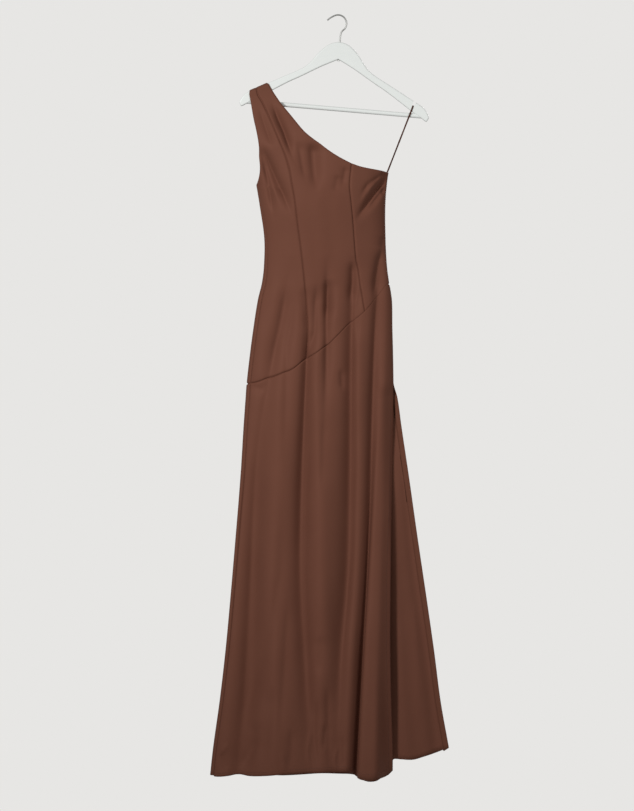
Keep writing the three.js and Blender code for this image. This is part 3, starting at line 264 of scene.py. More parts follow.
def line(places, values):
    """A smooth line through the values at the places."""
    places, values = np.array(places, float), np.array(values, float)
    if places[0] > places[-1]:
        places, values = places[::-1], values[::-1]
    last = len(places) - 1
    before = np.maximum(np.arange(last + 1) - 1, 0)
    after = np.minimum(np.arange(last + 1) + 1, last)
    slope = (values[after] - values[before]) / (places[after] - places[before])

    def at(x):
        i = np.clip(np.searchsorted(places, x) - 1, 0, last - 1)
        length = places[i + 1] - places[i]
        t = np.clip((x - places[i]) / length, 0, 1)
        rest = 1 - t
        rising = rest * rest * ((1 + 2 * t) * values[i] + t * length * slope[i])
        return rising + t * t * ((1 + 2 * rest) * values[i + 1] - rest * length * slope[i + 1])

    return at


def over_x(points):
    return line([x for x, _ in points], [z for _, z in points])


body_line = {name: line(BODY["z"], BODY[name]) for name in BODY if name != "z"}
left_of, seam_inset = body_line["left"], body_line["seam"]
hip_seam, hem_front, hem_back = over_x(HIP_SEAM), over_x(HEM_FRONT), over_x(HEM_BACK)
neck_end = over_x([NECK_SEAM, *NECK_END, OPEN_CORNER])


SHARPNESS = 0.4  # how round a trough's bottom is, as a share of its width


def fold_field(falls, drags):
    """How far the hanging folds and drags lift the cloth, and lean it, at x, z."""
    hanging = [
        (line(FALL_Z, x), left, right, line(FALL_Z, rise), line(FALL_Z, lean), min(rise) < 0)
        for _, x, left, right, rise, lean in falls
    ]

    def at(x, z):
        total, sideways = 0, 0
        share = np.clip((FALL_Z[0] - z) / (FALL_Z[0] - HEM_LEVEL), 0, 1) ** 2
        for place, left, right, rise, lean, sharp in hanging:
            off = x - place(z)
            width = np.where(off < 0, left[0] + (left[1] - left[0]) * share, right[0] + (right[1] - right[0]) * share)
            off = off / width
            shape = np.exp(SHARPNESS - np.hypot(off, SHARPNESS)) if sharp else np.exp(-(off**2))
            total = total + rise(z) * shape
            sideways = sideways + lean(z) * shape
        for start, end, width, depth in drags:
            run = (end[0] - start[0], end[1] - start[1])
            length = math.hypot(*run)
            way = ((x - start[0]) * run[0] + (z - start[1]) * run[1]) / length**2
            off = ((x - start[0]) * run[1] - (z - start[1]) * run[0]) / length
            fade = smooth((way + 0.08) / 0.2) * smooth((1.1 - way) / 0.8)
            total = total + depth * fade * np.exp(-((off / width) ** 2))
        return total, sideways

    return at


CREASE_BOTTOM = 0.35  # how round a crease's bottom is, as a share of its half width


def crease_field(creases):
    """How far the fine creases lift the cloth at x, z. Their ends fade out."""

    def at(x, z):
        total = np.zeros_like(x)
        for points, wide_left, wide_right, depth in creases:
            lengths = [math.dist(a, b) for a, b in zip(points, points[1:])]
            best = np.full(x.shape, 1e9)
            off = np.zeros_like(x)
            along = np.zeros_like(x)
            run = 0
            for (x0, z0), (x1, z1), length in zip(points, points[1:], lengths):
                way = np.clip(((x - x0) * (x1 - x0) + (z - z0) * (z1 - z0)) / length**2, 0, 1)
                dx, dz = x - (x0 + way * (x1 - x0)), z - (z0 + way * (z1 - z0))
                distance = np.hypot(dx, dz)
                nearer = distance < best
                best = np.where(nearer, distance, best)
                off = np.where(nearer, np.sign(dx * (z0 - z1) + dz * (x1 - x0)) * distance, off)
                along = np.where(nearer, (run + way * length) / sum(lengths), along)
                run += length
            width = np.where(off < 0, wide_left, wide_right)
            fade = smooth(along / 0.25) * smooth((1 - along) / 0.35)
            off = off / width
            shape = np.exp(-(off**2)) if depth > 0 else np.exp(CREASE_BOTTOM - np.hypot(off, CREASE_BOTTOM))
            total += depth * (0.1 + 0.9 * fade) * shape
        return total

    return at


SIDES = {
    "front": {"sign": -1, "right": body_line["right"], "depth": body_line["front"], "falls": FRONT_FALLS,
              "folds": fold_field(FRONT_FALLS, FRONT_DRAGS), "creases": crease_field(FRONT_CREASES)},
    "back": {"sign": 1, "right": body_line["slit"], "depth": body_line["back"], "falls": BACK_FALLS,
             "folds": fold_field(BACK_FALLS, BACK_DRAGS), "creases": crease_field(BACK_CREASES)},
}


def last_angle(side, z):
    return math.pi * (1 - SLIT_OPENS[side] * smooth((SLIT_TOP - z) / SLIT_REACH))


# The shoulder line over the hanger's arm, from the CAD's hanger
HANGER_TILT = math.radians(4.85)
HOOK_CENTRE = (-7.7, 41.6)
HOOK_RADIUS = 19.3
WIRE_RADIUS = 1.75
ARM_TOP = [(15, -3), (29, -11), (46, -28), (57, -43.5), (69, -57.5), (84, -68.5), (112, -83.5), (144, -100.5),
           (172, -115.7), (195, -128), (207, -139), (214, -153)]
ARM_UNDER = [(209, -162), (197, -155), (174, -141.5), (146, -123), (110, -100), (82, -84.5), (42, -60.7),
             (20, -49), (0, -39)]


def on_hanger(x, up):
    """A point of the hanger, x along its bar and up from its crest, in the part's frame."""
    cos, sin = math.cos(HANGER_TILT), math.sin(HANGER_TILT)
    crest_x = -(HOOK_CENTRE[0] * cos + HOOK_CENTRE[1] * sin)
    crest_z = -(-HOOK_CENTRE[0] * sin + HOOK_CENTRE[1] * cos + HOOK_RADIUS - WIRE_RADIUS)
    return crest_x + x * cos + up * sin, crest_z - x * sin + up * cos


arm_a, arm_b = on_hanger(-195, -128), on_hanger(-172, -115.7)
ARM_SLOPE = (arm_b[1] - arm_a[1]) / (arm_b[0] - arm_a[0])
TURN_LENGTH = math.pi / 2 * SHOULDER_RADIUS
TURN_LOSS = TURN_LENGTH - SHOULDER_RADIUS


def shoulder(x):
    return arm_a[1] + ARM_SLOPE * (x - arm_a[0]) + SHOULDER_RISE


def uneven(x, z, reach, seed):
    """A smooth unevenness of the cloth, from -1 to 1, made of waves of about reach across."""
    rng = np.random.default_rng(seed)
    total = 0
    for _ in range(9):
        turn, phase = rng.uniform(-0.5, 0.5), rng.uniform(0, 2 * math.pi)
        wave = 2 * math.pi / (reach * rng.uniform(0.7, 1.6))
        total = total + np.sin(wave * (x * math.cos(turn) + z * 0.28 * math.sin(turn) + 0.12 * z) + phase)
    return total / 5


def ring_side(side_name, turn, drop):
    side = SIDES[side_name]
    level = drop + TURN_LOSS
    angle_end = last_angle(side_name, level)
    angle = angle_end * np.abs(turn)
    left = left_of(level)
    x = left + (side["right"](level) - left) * (1 - np.cos(angle)) / (1 - np.cos(angle_end))
    rise, lean = side["folds"](x, level)
    inner = smooth(np.sin(angle) / FLAT_SIDE)
    fine = side["creases"](x, level) + 0.55 * uneven(x, level, 46, 7) * smooth((-200 - level) / 200)
    rise = rise + fine * smooth((shoulder(x) - drop) / 60)
    drawn = smooth((SLIT_TOP - SLIT_DRAWN["under"] - level) / SLIT_DRAWN["down"])
    drawn = drawn * smooth((x - SLIT_DRAWN["from"]) / SLIT_DRAWN["over"])
    flat = smooth((SLIT_TOP - SLIT_FLAT["under"] - level) / SLIT_FLAT["down"])
    flat = SLIT_FLAT[side_name] * flat * smooth((x - SLIT_FLAT["from"]) / SLIT_FLAT["over"])
    out = (side["depth"](level) * np.sin(angle) - SLIT_DRAWN[side_name] * drawn) * (1 - flat) + rise * inner
    below = shoulder(x) - drop
    bend = np.minimum(below, TURN_LENGTH) / SHOULDER_RADIUS
    opened = smooth((below - TURN_LENGTH) / SHOULDER_REACH)
    y = SHOULDER_RADIUS * np.sin(bend) * (1 - opened) + out * opened + fine * inner * (1 - opened) * 0.5
    z = np.where(below < TURN_LENGTH, shoulder(x) - SHOULDER_RADIUS * (1 - np.cos(bend)), level)
    return np.stack([x + lean * inner, side["sign"] * y, z], -1)


def ring(points):
    """Points on the outside of the dress, from an array of turns and drops."""
    turn, drop = points[..., 0], points[..., 1]
    front = ring_side("front", turn, drop)
    back = ring_side("back", turn, drop)
    return np.where((turn < 0)[..., None], front, back)


def outward(points):
    """The unit normals of the dress's outside."""
    turn, drop = np.array([1e-4, 0]), np.array([0, 0.05])
    normal = np.cross(ring(points + drop) - ring(points - drop), ring(points + turn) - ring(points - turn))
    return normal / np.linalg.norm(normal, axis=-1, keepdims=True)


def turn_at(side_name, x, z):
    side = SIDES[side_name]
    angle_end = last_angle(side_name, z)
    left = left_of(z)
    share = np.clip((x - left) / (side["right"](z) - left), 0, 1)
    return side["sign"] * np.arccos(np.clip(1 - share * (1 - np.cos(angle_end)), -1, 1)) / angle_end


def place(side_name, x, z):
    return np.array([turn_at(side_name, x, z), z - TURN_LOSS])


def down(side_name, shares, points):
    """Places at shares of the length down a cut line."""
    points = np.array(points, float)
    padded = np.vstack([points[:1], points, points[-1:]])
    t = np.linspace(0, 1, 24, endpoint=False)[:, None]
    parts = []
    for p0, p1, p2, p3 in zip(padded, padded[1:], padded[2:], padded[3:]):
        v0, v1 = (p2 - p0) / 2, (p3 - p1) / 2
        parts.append((2 * p1 - 2 * p2 + v0 + v1) * t**3 + (3 * p2 - 3 * p1 - 2 * v0 - v1) * t**2 + v0 * t + p1)
    curve = np.vstack([*parts, points[-1:]])
    run = np.concatenate([[0], np.cumsum(np.linalg.norm(np.diff(curve, axis=0), axis=1))])
    at = np.array(shares) * run[-1]
    x, z = np.interp(at, run, curve[:, 0]), np.interp(at, run, curve[:, 1])
    return np.stack([turn_at(side_name, x, z), z - TURN_LOSS], -1)


def over_shoulder(side_name, ends, rows):
    share = np.linspace(0, 1, rows + 1)
    x = ends[0] + (ends[1] - ends[0]) * share
    drop = shoulder(x) - TURN_LENGTH * share
    return np.stack([turn_at(side_name, x, drop + TURN_LOSS), drop], -1)


def under_turn(ends):
    return (ends[1], shoulder(ends[1]) - TURN_LENGTH + TURN_LOSS)


def across(start, end, shares, height_at):
    """Places along a line of heights over x, between two turns."""
    turn = start + (end - start) * np.array(shares)
    drop = np.full(turn.shape, -700.0)
    for _ in range(12):
        level = drop + TURN_LOSS
        x = 0
        for name, picked in (("front", turn < 0), ("back", turn >= 0)):
            angle = last_angle(name, level)
            reach = (1 - np.cos(angle * np.abs(turn))) / (1 - np.cos(angle))
            x = x + picked * (left_of(level) + (SIDES[name]["right"](level) - left_of(level)) * reach)
        drop = height_at(x) - TURN_LOSS
    return np.stack([turn, drop], -1)


def edge(turn, top, bottom, shares):
    drop = top + (bottom - top) * np.array(shares) - TURN_LOSS
    return np.stack([np.full(drop.shape, float(turn)), drop], -1)


def left_seam(top, bottom, shares):
    z = top + (bottom - top) * np.array(shares)
    return np.stack([turn_at("front", left_of(z) + seam_inset(z), z), z - TURN_LOSS], -1)


def hem_turn(points):
    """The turn that lies a turned hem's width in from each point of an edge."""
    rim = ring(points)
    near, far = np.zeros(len(points)), np.full(len(points), 0.5)
    for _ in range(24):
        middle = (near + far) / 2
        trial = np.stack([points[:, 0] * (1 - middle), points[:, 1]], -1)
        short = np.linalg.norm(ring(trial) - rim, axis=1) < TURNED_HEM
        near, far = np.where(short, middle, near), np.where(short, far, middle)
    return np.stack([points[:, 0] * (1 - near), points[:, 1]], -1)


def spread(count, tight_start=True, tight_end=True):
    """Even shares from 0 to 1, with close ones added where the cloth rolls into a seam."""
    steps = list(range(count + 1))
    if tight_start:
        steps = [0, 0.12, 0.3, 0.55, *steps[1:]]
    if tight_end:
        steps = [*steps[:-1], count - 0.55, count - 0.3, count - 0.12, count]
    return np.array(steps) / count


def patch(left, right, top, bottom, shares):
    """A grid of turns and drops between four edges, blended from them."""

    def run(points):
        steps = np.linalg.norm(np.diff(ring(points), axis=0), axis=1)
        total = np.concatenate([[0], np.cumsum(steps)])
        return total / total[-1]

    q = ((run(left) + run(right)) / 2)[:, None, None]
    p = shares[None, :, None]
    rows = left[:, None] * (1 - p) + right[:, None] * p
    columns = top[None] * (1 - q) + bottom[None] * q
    corners = (top[0] * (1 - p) + top[-1] * p) * (1 - q) + (bottom[0] * (1 - p) + bottom[-1] * p) * q
    return rows + columns - corners


def skirt_grid(side_name, left, right, top, hem, guides, steps):
    """A skirt's grid: guide columns run down folds. steps counts the columns in guides."""
    lines = [(guides[name], line(FALL_Z, x)) for name, x, *_ in SIDES[side_name]["falls"] if name in guides]
    stops = [0, *[column for column, _ in lines], steps[-1]]
    k = np.clip(np.searchsorted(stops, steps), 1, len(stops) - 1)
    share = (steps - np.array(stops)[k - 1]) / (np.array(stops)[k] - np.array(stops)[k - 1])

    def turn_of(drop, first, last):
        z = drop + TURN_LOSS
        turns = [np.broadcast_to(first, drop.shape)]
        turns += [turn_at(side_name, x(z), z) for _, x in lines]
        turns.append(np.broadcast_to(last, drop.shape))
        turns = np.array(turns)
        column = np.arange(len(steps))
        low, high = turns[k - 1, ..., column], turns[k, ..., column]
        return (low + (high - low) * share.reshape(-1, *[1] * (low.ndim - 1))).T

    level = np.full((1, len(steps)), HEM_LEVEL - TURN_LOSS)
    hem_turns = turn_of(level, left[-1, 0], right[-1, 0])
    bottom = hem(ring(np.stack([hem_turns, level], -1))[0, :, 0]) - TURN_LOSS
    bottom[0], bottom[-1] = left[-1, 1], right[-1, 1]

    def share_of(points):
        return (points[:, 1] - points[0, 1]) / (points[-1, 1] - points[0, 1])

    across_share = (steps / steps[-1])[None]
    fall = share_of(left)[:, None] * (1 - across_share) + share_of(right)[:, None] * across_share
    drop = top[None, :, 1] + (bottom - top[:, 1])[None] * fall
    late = top[None, :, 0] - turn_of(top[None, :, 1], left[0, 0], right[0, 0])
    turn = turn_of(drop, left[:, :1], right[:, :1]) + late * (1 - smooth(fall / 0.35))
    grid = np.stack([turn, drop], -1)
    grid[0] = top
    grid[:, 0], grid[:, -1] = left, right
    return grid


def with_hem(grid, rim, columns):
    share = (np.arange(columns) + 1)[None, :, None] / columns
    extra = grid[:, -1:] * (1 - share) + rim[:, None] * share
    return np.concatenate([grid, extra], 1)


# Building meshes
def mesh_object(name, vertices, faces, material, uv=None):
    mesh = bpy.data.meshes.new(name)
    mesh.from_pydata((np.array(vertices) * MM).tolist(), [], [tuple(face) for face in faces])
    if uv is not None:
        layer = mesh.uv_layers.new(name="cut")
        loops = np.zeros(len(mesh.loops), int)
        mesh.loops.foreach_get("vertex_index", loops)
        layer.data.foreach_set("uv", (uv[loops] * MM).ravel())
    mesh.polygons.foreach_set("use_smooth", [True] * len(mesh.polygons))
    mesh.materials.append(material)
    mesh.update()
    shape = bpy.data.objects.new(name, mesh)
    bpy.context.scene.collection.objects.link(shape)
    return shape


SEAM_ROLL = 2.6  # how deep the cloth rolls in at a seam
SEAM_REACH = 1.9


def shell(name, grid, material, seams="", start=0.0, thickness=CLOTH, bare=None):
    """A thin closed cloth shell over a grid, start mm under the dress's outside.

    bare is how many upper rows have no cloth right of a column.
    """
    outer, normal = ring(grid), outward(grid)
    rows, columns = grid.shape[:2]
    width = np.linalg.norm(np.diff(outer, axis=1), axis=-1)
    height = np.linalg.norm(np.diff(outer, axis=0), axis=-1)
    u = np.concatenate([np.zeros((rows, 1)), np.cumsum(width, 1)], 1)
    v = np.concatenate([np.zeros((1, columns)), np.cumsum(height, 0)], 0)
    there = np.ones((rows - 1, columns - 1), bool)
    u_end, v_start = u[:, -1:].copy(), np.zeros((1, columns))
    if bare:
        there[: bare[0], bare[1] :] = False
        u_end[: bare[0], 0] = u[: bare[0], bare[1]]
        v_start[0, bare[1] + 1 :] = v[bare[0], bare[1] + 1 :]
    roll = np.zeros(u.shape)
    for side, distance in (("l", u), ("r", u_end - u), ("t", v - v_start), ("b", v[-1:] - v)):
        if side in seams:
            roll = np.maximum(roll, np.exp(-((distance / SEAM_REACH) ** 2)))
    outer = outer - normal * (start + SEAM_ROLL * roll)[..., None]
    inner = outer - normal * thickness
    index = np.arange(rows * columns).reshape(rows, columns)
    corners = np.stack([index[:-1, :-1], index[1:, :-1], index[1:, 1:], index[:-1, 1:]], -1)
    under = corners + rows * columns
    quads = [corners[there], under[there][:, ::-1]]
    fence = np.pad(there, 1)
    for k, beyond in enumerate((fence[1:-1, :-2], fence[2:, 1:-1], fence[1:-1, 2:], fence[:-2, 1:-1])):
        rim = there & ~beyond
        a, b = corners[rim][:, k], corners[rim][:, (k + 1) % 4]
        quads.append(np.stack([b, a, a + rows * columns, b + rows * columns], -1))
    faces = np.concatenate(quads)
    if grid[-1, 1, 0] > grid[-1, 0, 0]:
        faces = faces[:, ::-1]
    used, faces = np.unique(faces, return_inverse=True)
    faces = faces.reshape(-1, 4)
    uv = np.stack([u, -v], -1).reshape(-1, 2)
    vertices = np.concatenate([outer.reshape(-1, 3), inner.reshape(-1, 3)])
    return mesh_object(name, vertices[used], faces, material, np.concatenate([uv, uv])[used])


# Materials
def colour(code):
    """The linear colour of an sRGB hex value."""
    parts = [int(code[i : i + 2], 16) / 255 for i in (1, 3, 5)]
    return (*[c / 12.92 if c <= 0.04045 else ((c + 0.055) / 1.055) ** 2.4 for c in parts], 1)


def add(tree, kind, links=None, **settings):
    """Adds a node. links maps an input to a value or to another node's output."""
    node = tree.nodes.new(kind)
    for key, value in settings.items():
        setattr(node, key, value)
    for key, value in (links or {}).items():
        if isinstance(value, bpy.types.NodeSocket):
            tree.links.new(value, node.inputs[key])
        else:
            node.inputs[key].default_value = value
    return node


def new_material(name):
    material = bpy.data.materials.new(name)
    material.use_nodes = True
    tree = material.node_tree
    shader = tree.nodes["Principled BSDF"]
    return material, tree, shader


def satin_weave(name, mid, light, dark, roughness):
    """Woven polyester satin: long floats give a soft, wide sheen and a calm, deep colour."""
    material, tree, shader = new_material(name)
    cut = add(tree, "ShaderNodeUVMap", uv_map="cut")
    # The floats are about 0.1 mm wide, too fine to show, so they are drawn 0.9 mm wide.
    floats = add(tree, "ShaderNodeMapping", {"Vector": cut.outputs["UV"], "Scale": (1100, 90, 1)})
    threads = add(tree, "ShaderNodeTexNoise", {"Vector": floats.outputs["Vector"], "Scale": 1.0, "Detail": 2.0})
    # The dye takes a little unevenly, in patches some 80 mm across.
    patches = add(tree, "ShaderNodeTexNoise", {"Vector": cut.outputs["UV"], "Scale": 12.0, "Detail": 2.0})
    patch_mix = add(
        tree, "ShaderNodeMix", {"Factor": patches.outputs["Fac"], "A": colour(dark), "B": colour(light)},
        data_type="RGBA",
    )
    thread_shade = add(
        tree, "ShaderNodeMapRange",
        {"Value": threads.outputs["Fac"], "From Min": 0.3, "From Max": 0.7, "To Min": 0.35, "To Max": 0.65},
    )
    base = add(
        tree, "ShaderNodeMix", {"Factor": thread_shade.outputs["Result"], "B": colour(mid)}, data_type="RGBA"
    )
    tree.links.new(patch_mix.outputs["Result"], base.inputs["A"])
    bump = add(tree, "ShaderNodeBump", {"Height": threads.outputs["Fac"], "Strength": 0.25, "Distance": 0.00015})
    tree.links.new(base.outputs["Result"], shader.inputs["Base Color"])
    tree.links.new(bump.outputs["Normal"], shader.inputs["Normal"])
    shader.inputs["Roughness"].default_value = roughness
    shader.inputs["Specular IOR Level"].default_value = 0.15
    shader.inputs["Specular Tint"].default_value = colour("#D0A090")
    return material


brown_satin = satin_weave("woven_polyester_satin", "#6E4638", "#724A3C", "#694235", 0.55)
turned_satin = satin_weave("turned_satin_hem", "#6A4335", "#6E4739", "#654032", 0.55)
ribbon_satin = satin_weave("satin_ribbon", "#4A2E25", "#523429", "#41281F", 0.42)


def thread():
    """Spun polyester sewing thread, a shade darker than the satin and quite matt."""
    material, tree, shader = new_material("spun_polyester_thread")
    at = add(tree, "ShaderNodeTexCoord")
    # The plies are 0.2 mm apart, drawn 0.5 mm apart.
    plies = add(tree, "ShaderNodeTexNoise", {"Vector": at.outputs["Object"], "Scale": 2000.0, "Detail": 1.0})
    shade = add(
        tree, "ShaderNodeMix", {"Factor": plies.outputs["Fac"], "A": colour("#4C2F26"), "B": colour("#5E3B2F")},
        data_type="RGBA",
    )
    tree.links.new(shade.outputs["Result"], shader.inputs["Base Color"])
    shader.inputs["Roughness"].default_value = 0.75
    return material


sewing_thread = thread()

# Stitches in metres, as the node tree takes them
STITCHES = {"Stitch Length": 0.0026, "Spacing": 0.0036, "Thread Radius": 0.0004, "Seed": 5}


def stitch_tree():
    """A row of stitches, each a short bulge of thread, along every edge path it is given."""
    tree = bpy.data.node_groups.new("row_of_stitches", "GeometryNodeTree")
    tree.interface.new_socket("Path", in_out="INPUT", socket_type="NodeSocketGeometry")
    for name in ("Stitch Length", "Spacing", "Thread Radius"):
        tree.interface.new_socket(name, in_out="INPUT", socket_type="NodeSocketFloat")
    tree.interface.new_socket("Seed", in_out="INPUT", socket_type="NodeSocketInt")
    tree.interface.new_socket("Stitches", in_out="OUTPUT", socket_type="NodeSocketGeometry")
    given = add(tree, "NodeGroupInput").outputs
    path = add(tree, "GeometryNodeMeshToCurve", {"Mesh": given["Path"]})
    stops = add(
        tree, "GeometryNodeResampleCurve", {"Curve": path.outputs["Curve"], "Length": given["Spacing"]}, mode="LENGTH"
    )
    bead = add(tree, "GeometryNodeMeshUVSphere", {"Segments": 6, "Rings": 4, "Radius": 1.0})
    half = add(tree, "ShaderNodeMath", {0: given["Stitch Length"], 1: 0.5}, operation="MULTIPLY")
    size = add(
        tree, "ShaderNodeCombineXYZ",
        {"X": given["Thread Radius"], "Y": given["Thread Radius"], "Z": half.outputs["Value"]},
    )
    stitch = add(tree, "GeometryNodeTransform", {"Geometry": bead.outputs["Mesh"], "Scale": size.outputs["Vector"]})
    way = add(tree, "GeometryNodeInputTangent")
    turned = add(tree, "FunctionNodeAlignRotationToVector", {"Vector": way.outputs["Tangent"]}, axis="Z")
    uneven_size = add(
        tree, "FunctionNodeRandomValue", {"Min": (0.85, 0.85, 0.85), "Max": (1.1, 1.1, 1.05), "Seed": given["Seed"]},
        data_type="FLOAT_VECTOR",
    )
    row = add(
        tree, "GeometryNodeInstanceOnPoints",
        {"Points": stops.outputs["Curve"], "Instance": stitch.outputs["Geometry"],
         "Rotation": turned.outputs["Rotation"], "Scale": uneven_size.outputs["Value"]},
    )
    real = add(tree, "GeometryNodeRealizeInstances", {"Geometry": row.outputs["Instances"]})
    finish = add(tree, "GeometryNodeSetMaterial", {"Geometry": real.outputs["Geometry"], "Material": sewing_thread})
    add(tree, "NodeGroupOutput", {"Stitches": finish.outputs["Geometry"]})
    return tree


row_of_stitches = stitch_tree()


def sewn_row(name, line_of_places):
    """Stitches along turns and drops on the outside of the dress, as a plain mesh."""
    points = ring(line_of_places) + 0.1 * outward(line_of_places)
    mesh = bpy.data.meshes.new(name)
    mesh.from_pydata((points * MM).tolist(), [(k, k + 1) for k in range(len(points) - 1)], [])
    row = bpy.data.objects.new(name, mesh)
    bpy.context.scene.collection.objects.link(row)
    modifier = row.modifiers.new("stitches", "NODES")
    modifier.node_group = row_of_stitches
    for item in row_of_stitches.interface.items_tree:
        if item.in_out == "INPUT" and item.name in STITCHES:
            modifier[item.identifier] = STITCHES[item.name]
    made = bpy.data.meshes.new_from_object(row.evaluated_get(bpy.context.evaluated_depsgraph_get()))
    row.modifiers.clear()
    row.data = made
    made.polygons.foreach_set("use_smooth", [True] * len(made.polygons))
    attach(row, "root")


# The dress's pieces
TURN_ROWS, UPPER_ROWS, LOWER_ROWS, SIDE_ROWS, SLIT_ROWS = 8, 56, 96, 28, 130
STRAP_COLUMNS, CENTRE_COLUMNS, OPEN_COLUMNS, BACK_COLUMNS, HEM_COLUMNS = 50, 55, 40, 96, 4
HEM_STITCHES = 9  # height over the hem
BACK_MIDDLE = 2 / 3  # share of the back's columns left of the point where its neckline turns level


def finished(piece, node):
    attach(piece, "root")
    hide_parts(node)
    return piece


def cloth(name, node, grid, seams, flat, area, rests_on, **more):
    piece = finished(shell(name, grid, more.pop("material", brown_satin), seams, **more), node)
    return piece


def make_dress():
    armhole, seam, neck = SHOULDER_X.values()
    hip_left_x = float(left_of(HIP_SEAM[0][1]) + seam_inset(HIP_SEAM[0][1]))
    hip_left_z = float(hip_seam(hip_left_x))
    hip_left = place("front", hip_left_x, hip_left_z)
    hip_right_z = HIP_SEAM[-1][1]
    strap_foot, open_foot = place("front", *STRAP_SEAM[-1]), place("front", *OPEN_SEAM[-1])
    lower = spread(LOWER_ROWS, False, True)[1:]
    upper = np.linspace(0, 1, UPPER_ROWS + 1)[1:]
    both = np.concatenate([upper * UPPER_ROWS, UPPER_ROWS + lower * LOWER_ROWS]) / (UPPER_ROWS + LOWER_ROWS)
    columns = {
        "strap": spread(STRAP_COLUMNS), "centre": spread(CENTRE_COLUMNS), "open": spread(OPEN_COLUMNS, True, False),
        "back": spread(BACK_COLUMNS, True, False),
    }

    def hip_line(start, end, shares):
        return across(start[0], end[0], shares, hip_seam)

    def shoulder_top(side, start, end, shares):
        ends = [turn_at(side, x, shoulder(x) + TURN_LOSS) for x, _ in (start, end)]
        return across(*ends, shares, lambda x: shoulder(x) + TURN_LOSS)

    def armhole_line(side, points):
        line_down = down(side, upper, [under_turn(armhole), *points, UNDERARM])
        return np.vstack([over_shoulder(side, armhole, TURN_ROWS), line_down])

    side_left = left_seam(UNDERARM[1], hip_left_z, lower)
    strap_hip = hip_line(hip_left, strap_foot, columns["strap"])
    strap_seam = np.vstack([over_shoulder("front", seam, TURN_ROWS), down("front", both, [under_turn(seam), *STRAP_SEAM])])
    grid = patch(
        np.vstack([armhole_line("front", ARMHOLE), side_left]), strap_seam,
        shoulder_top("front", armhole, seam, columns["strap"]), strap_hip, columns["strap"],
    )
    cloth("bodice_front_strap_panel", "bodice_front_strap_side", grid, "lrtb", (0.16, 0.7), 0.057, ["hanger_wood"])

    open_seam = down("front", lower, [NECK_SEAM, *OPEN_SEAM])
    centre_hip = hip_line(strap_foot, open_foot, columns["centre"])
    neck_line = down("front", upper, [under_turn(neck), *NECK, NECK_SEAM])
    grid = patch(
        strap_seam, np.vstack([over_shoulder("front", neck, TURN_ROWS), neck_line, open_seam]),
        shoulder_top("front", seam, neck, columns["centre"]), centre_hip, columns["centre"],
    )
    cloth("bodice_front_centre_panel", "bodice_front_centre", grid, "lrtb", (0.27, 0.65), 0.064, ["hanger_wood"])

    open_top = place("front", *NECK_SEAM)
    rim = np.vstack([[-1, OPEN_CORNER[1] - TURN_LOSS], edge(-1, OPEN_CORNER[1], hip_right_z, lower)])
    open_edge = hem_turn(rim)
    open_hip = hip_line(open_foot, open_edge[-1], columns["open"])
    open_edge[0, 1] = neck_end(ring(open_edge[:1])[0, 0]) - TURN_LOSS
    open_edge[-1] = open_hip[-1]
    open_neck = across(open_top[0], open_edge[0, 0], columns["open"], neck_end)
    grid = patch(np.vstack([open_top, open_seam]), open_edge, open_neck, open_hip, columns["open"])
    grid = with_hem(grid, rim, HEM_COLUMNS)
    cloth("bodice_front_open_panel", "bodice_front_open_side", grid, "lrb", (0.12, 0.34), 0.028, ["hanger_loop"])

    # The back's upper rows end at the neckline's steep half, and its lower rows run on under
    # the level half.
    rim = np.vstack([[1, OPEN_CORNER[1] - TURN_LOSS], edge(1, OPEN_CORNER[1], hip_right_z, lower)])
    back_edge = hem_turn(rim)
    back_hip = hip_line(hip_left, back_edge[-1], columns["back"])
    middle = int(np.argmin(abs(columns["back"] - BACK_MIDDLE)))
    hip_middle = ring(back_hip[middle : middle + 1])[0]
    middle_line = np.vstack([down("back", lower, [NECK_BACK_MIDDLE, (hip_middle[0], hip_middle[2])])[:-1], back_hip[middle]])
    steep_neck = down("back", upper, [under_turn(neck), *NECK_BACK, NECK_BACK_MIDDLE])
    left_shares = columns["back"][: middle + 1] / columns["back"][middle]
    left_grid = patch(
        np.vstack([armhole_line("back", ARMHOLE_BACK), side_left]),
        np.vstack([over_shoulder("back", neck, TURN_ROWS), steep_neck, middle_line]),
        shoulder_top("back", armhole, neck, left_shares), back_hip[: middle + 1], left_shares,
    )
    right_shares = (columns["back"][middle:] - columns["back"][middle]) / (1 - columns["back"][middle])
    neck_end_x = ring(back_edge[:1])[0, 0]
    level_line = [NECK_BACK_MIDDLE, *NECK_BACK_END, (neck_end_x, OPEN_CORNER[1])]
    level_neck = np.vstack([steep_neck[-1], down("back", right_shares[1:], level_line)])
    back_edge[0], back_edge[-1] = level_neck[-1], back_hip[-1]
    right_grid = patch(np.vstack([steep_neck[-1], middle_line]), back_edge, level_neck, back_hip[middle:], right_shares)
    right_grid = with_hem(right_grid, rim, HEM_COLUMNS)
    bare_rows = TURN_ROWS + UPPER_ROWS
    filler = np.repeat(right_grid[:1, 1:], bare_rows, axis=0)
    filler[..., 1] += 2.0 * np.arange(bare_rows, 0, -1)[:, None]
    grid = np.hstack([left_grid, np.vstack([filler, right_grid[:, 1:]])])
    cloth(
        "bodice_back_panel", "bodice_back", grid, "lrtb", (0.36, 0.7), 0.152, ["hanger_wood", "hanger_loop"],
        bare=(bare_rows, middle),
    )

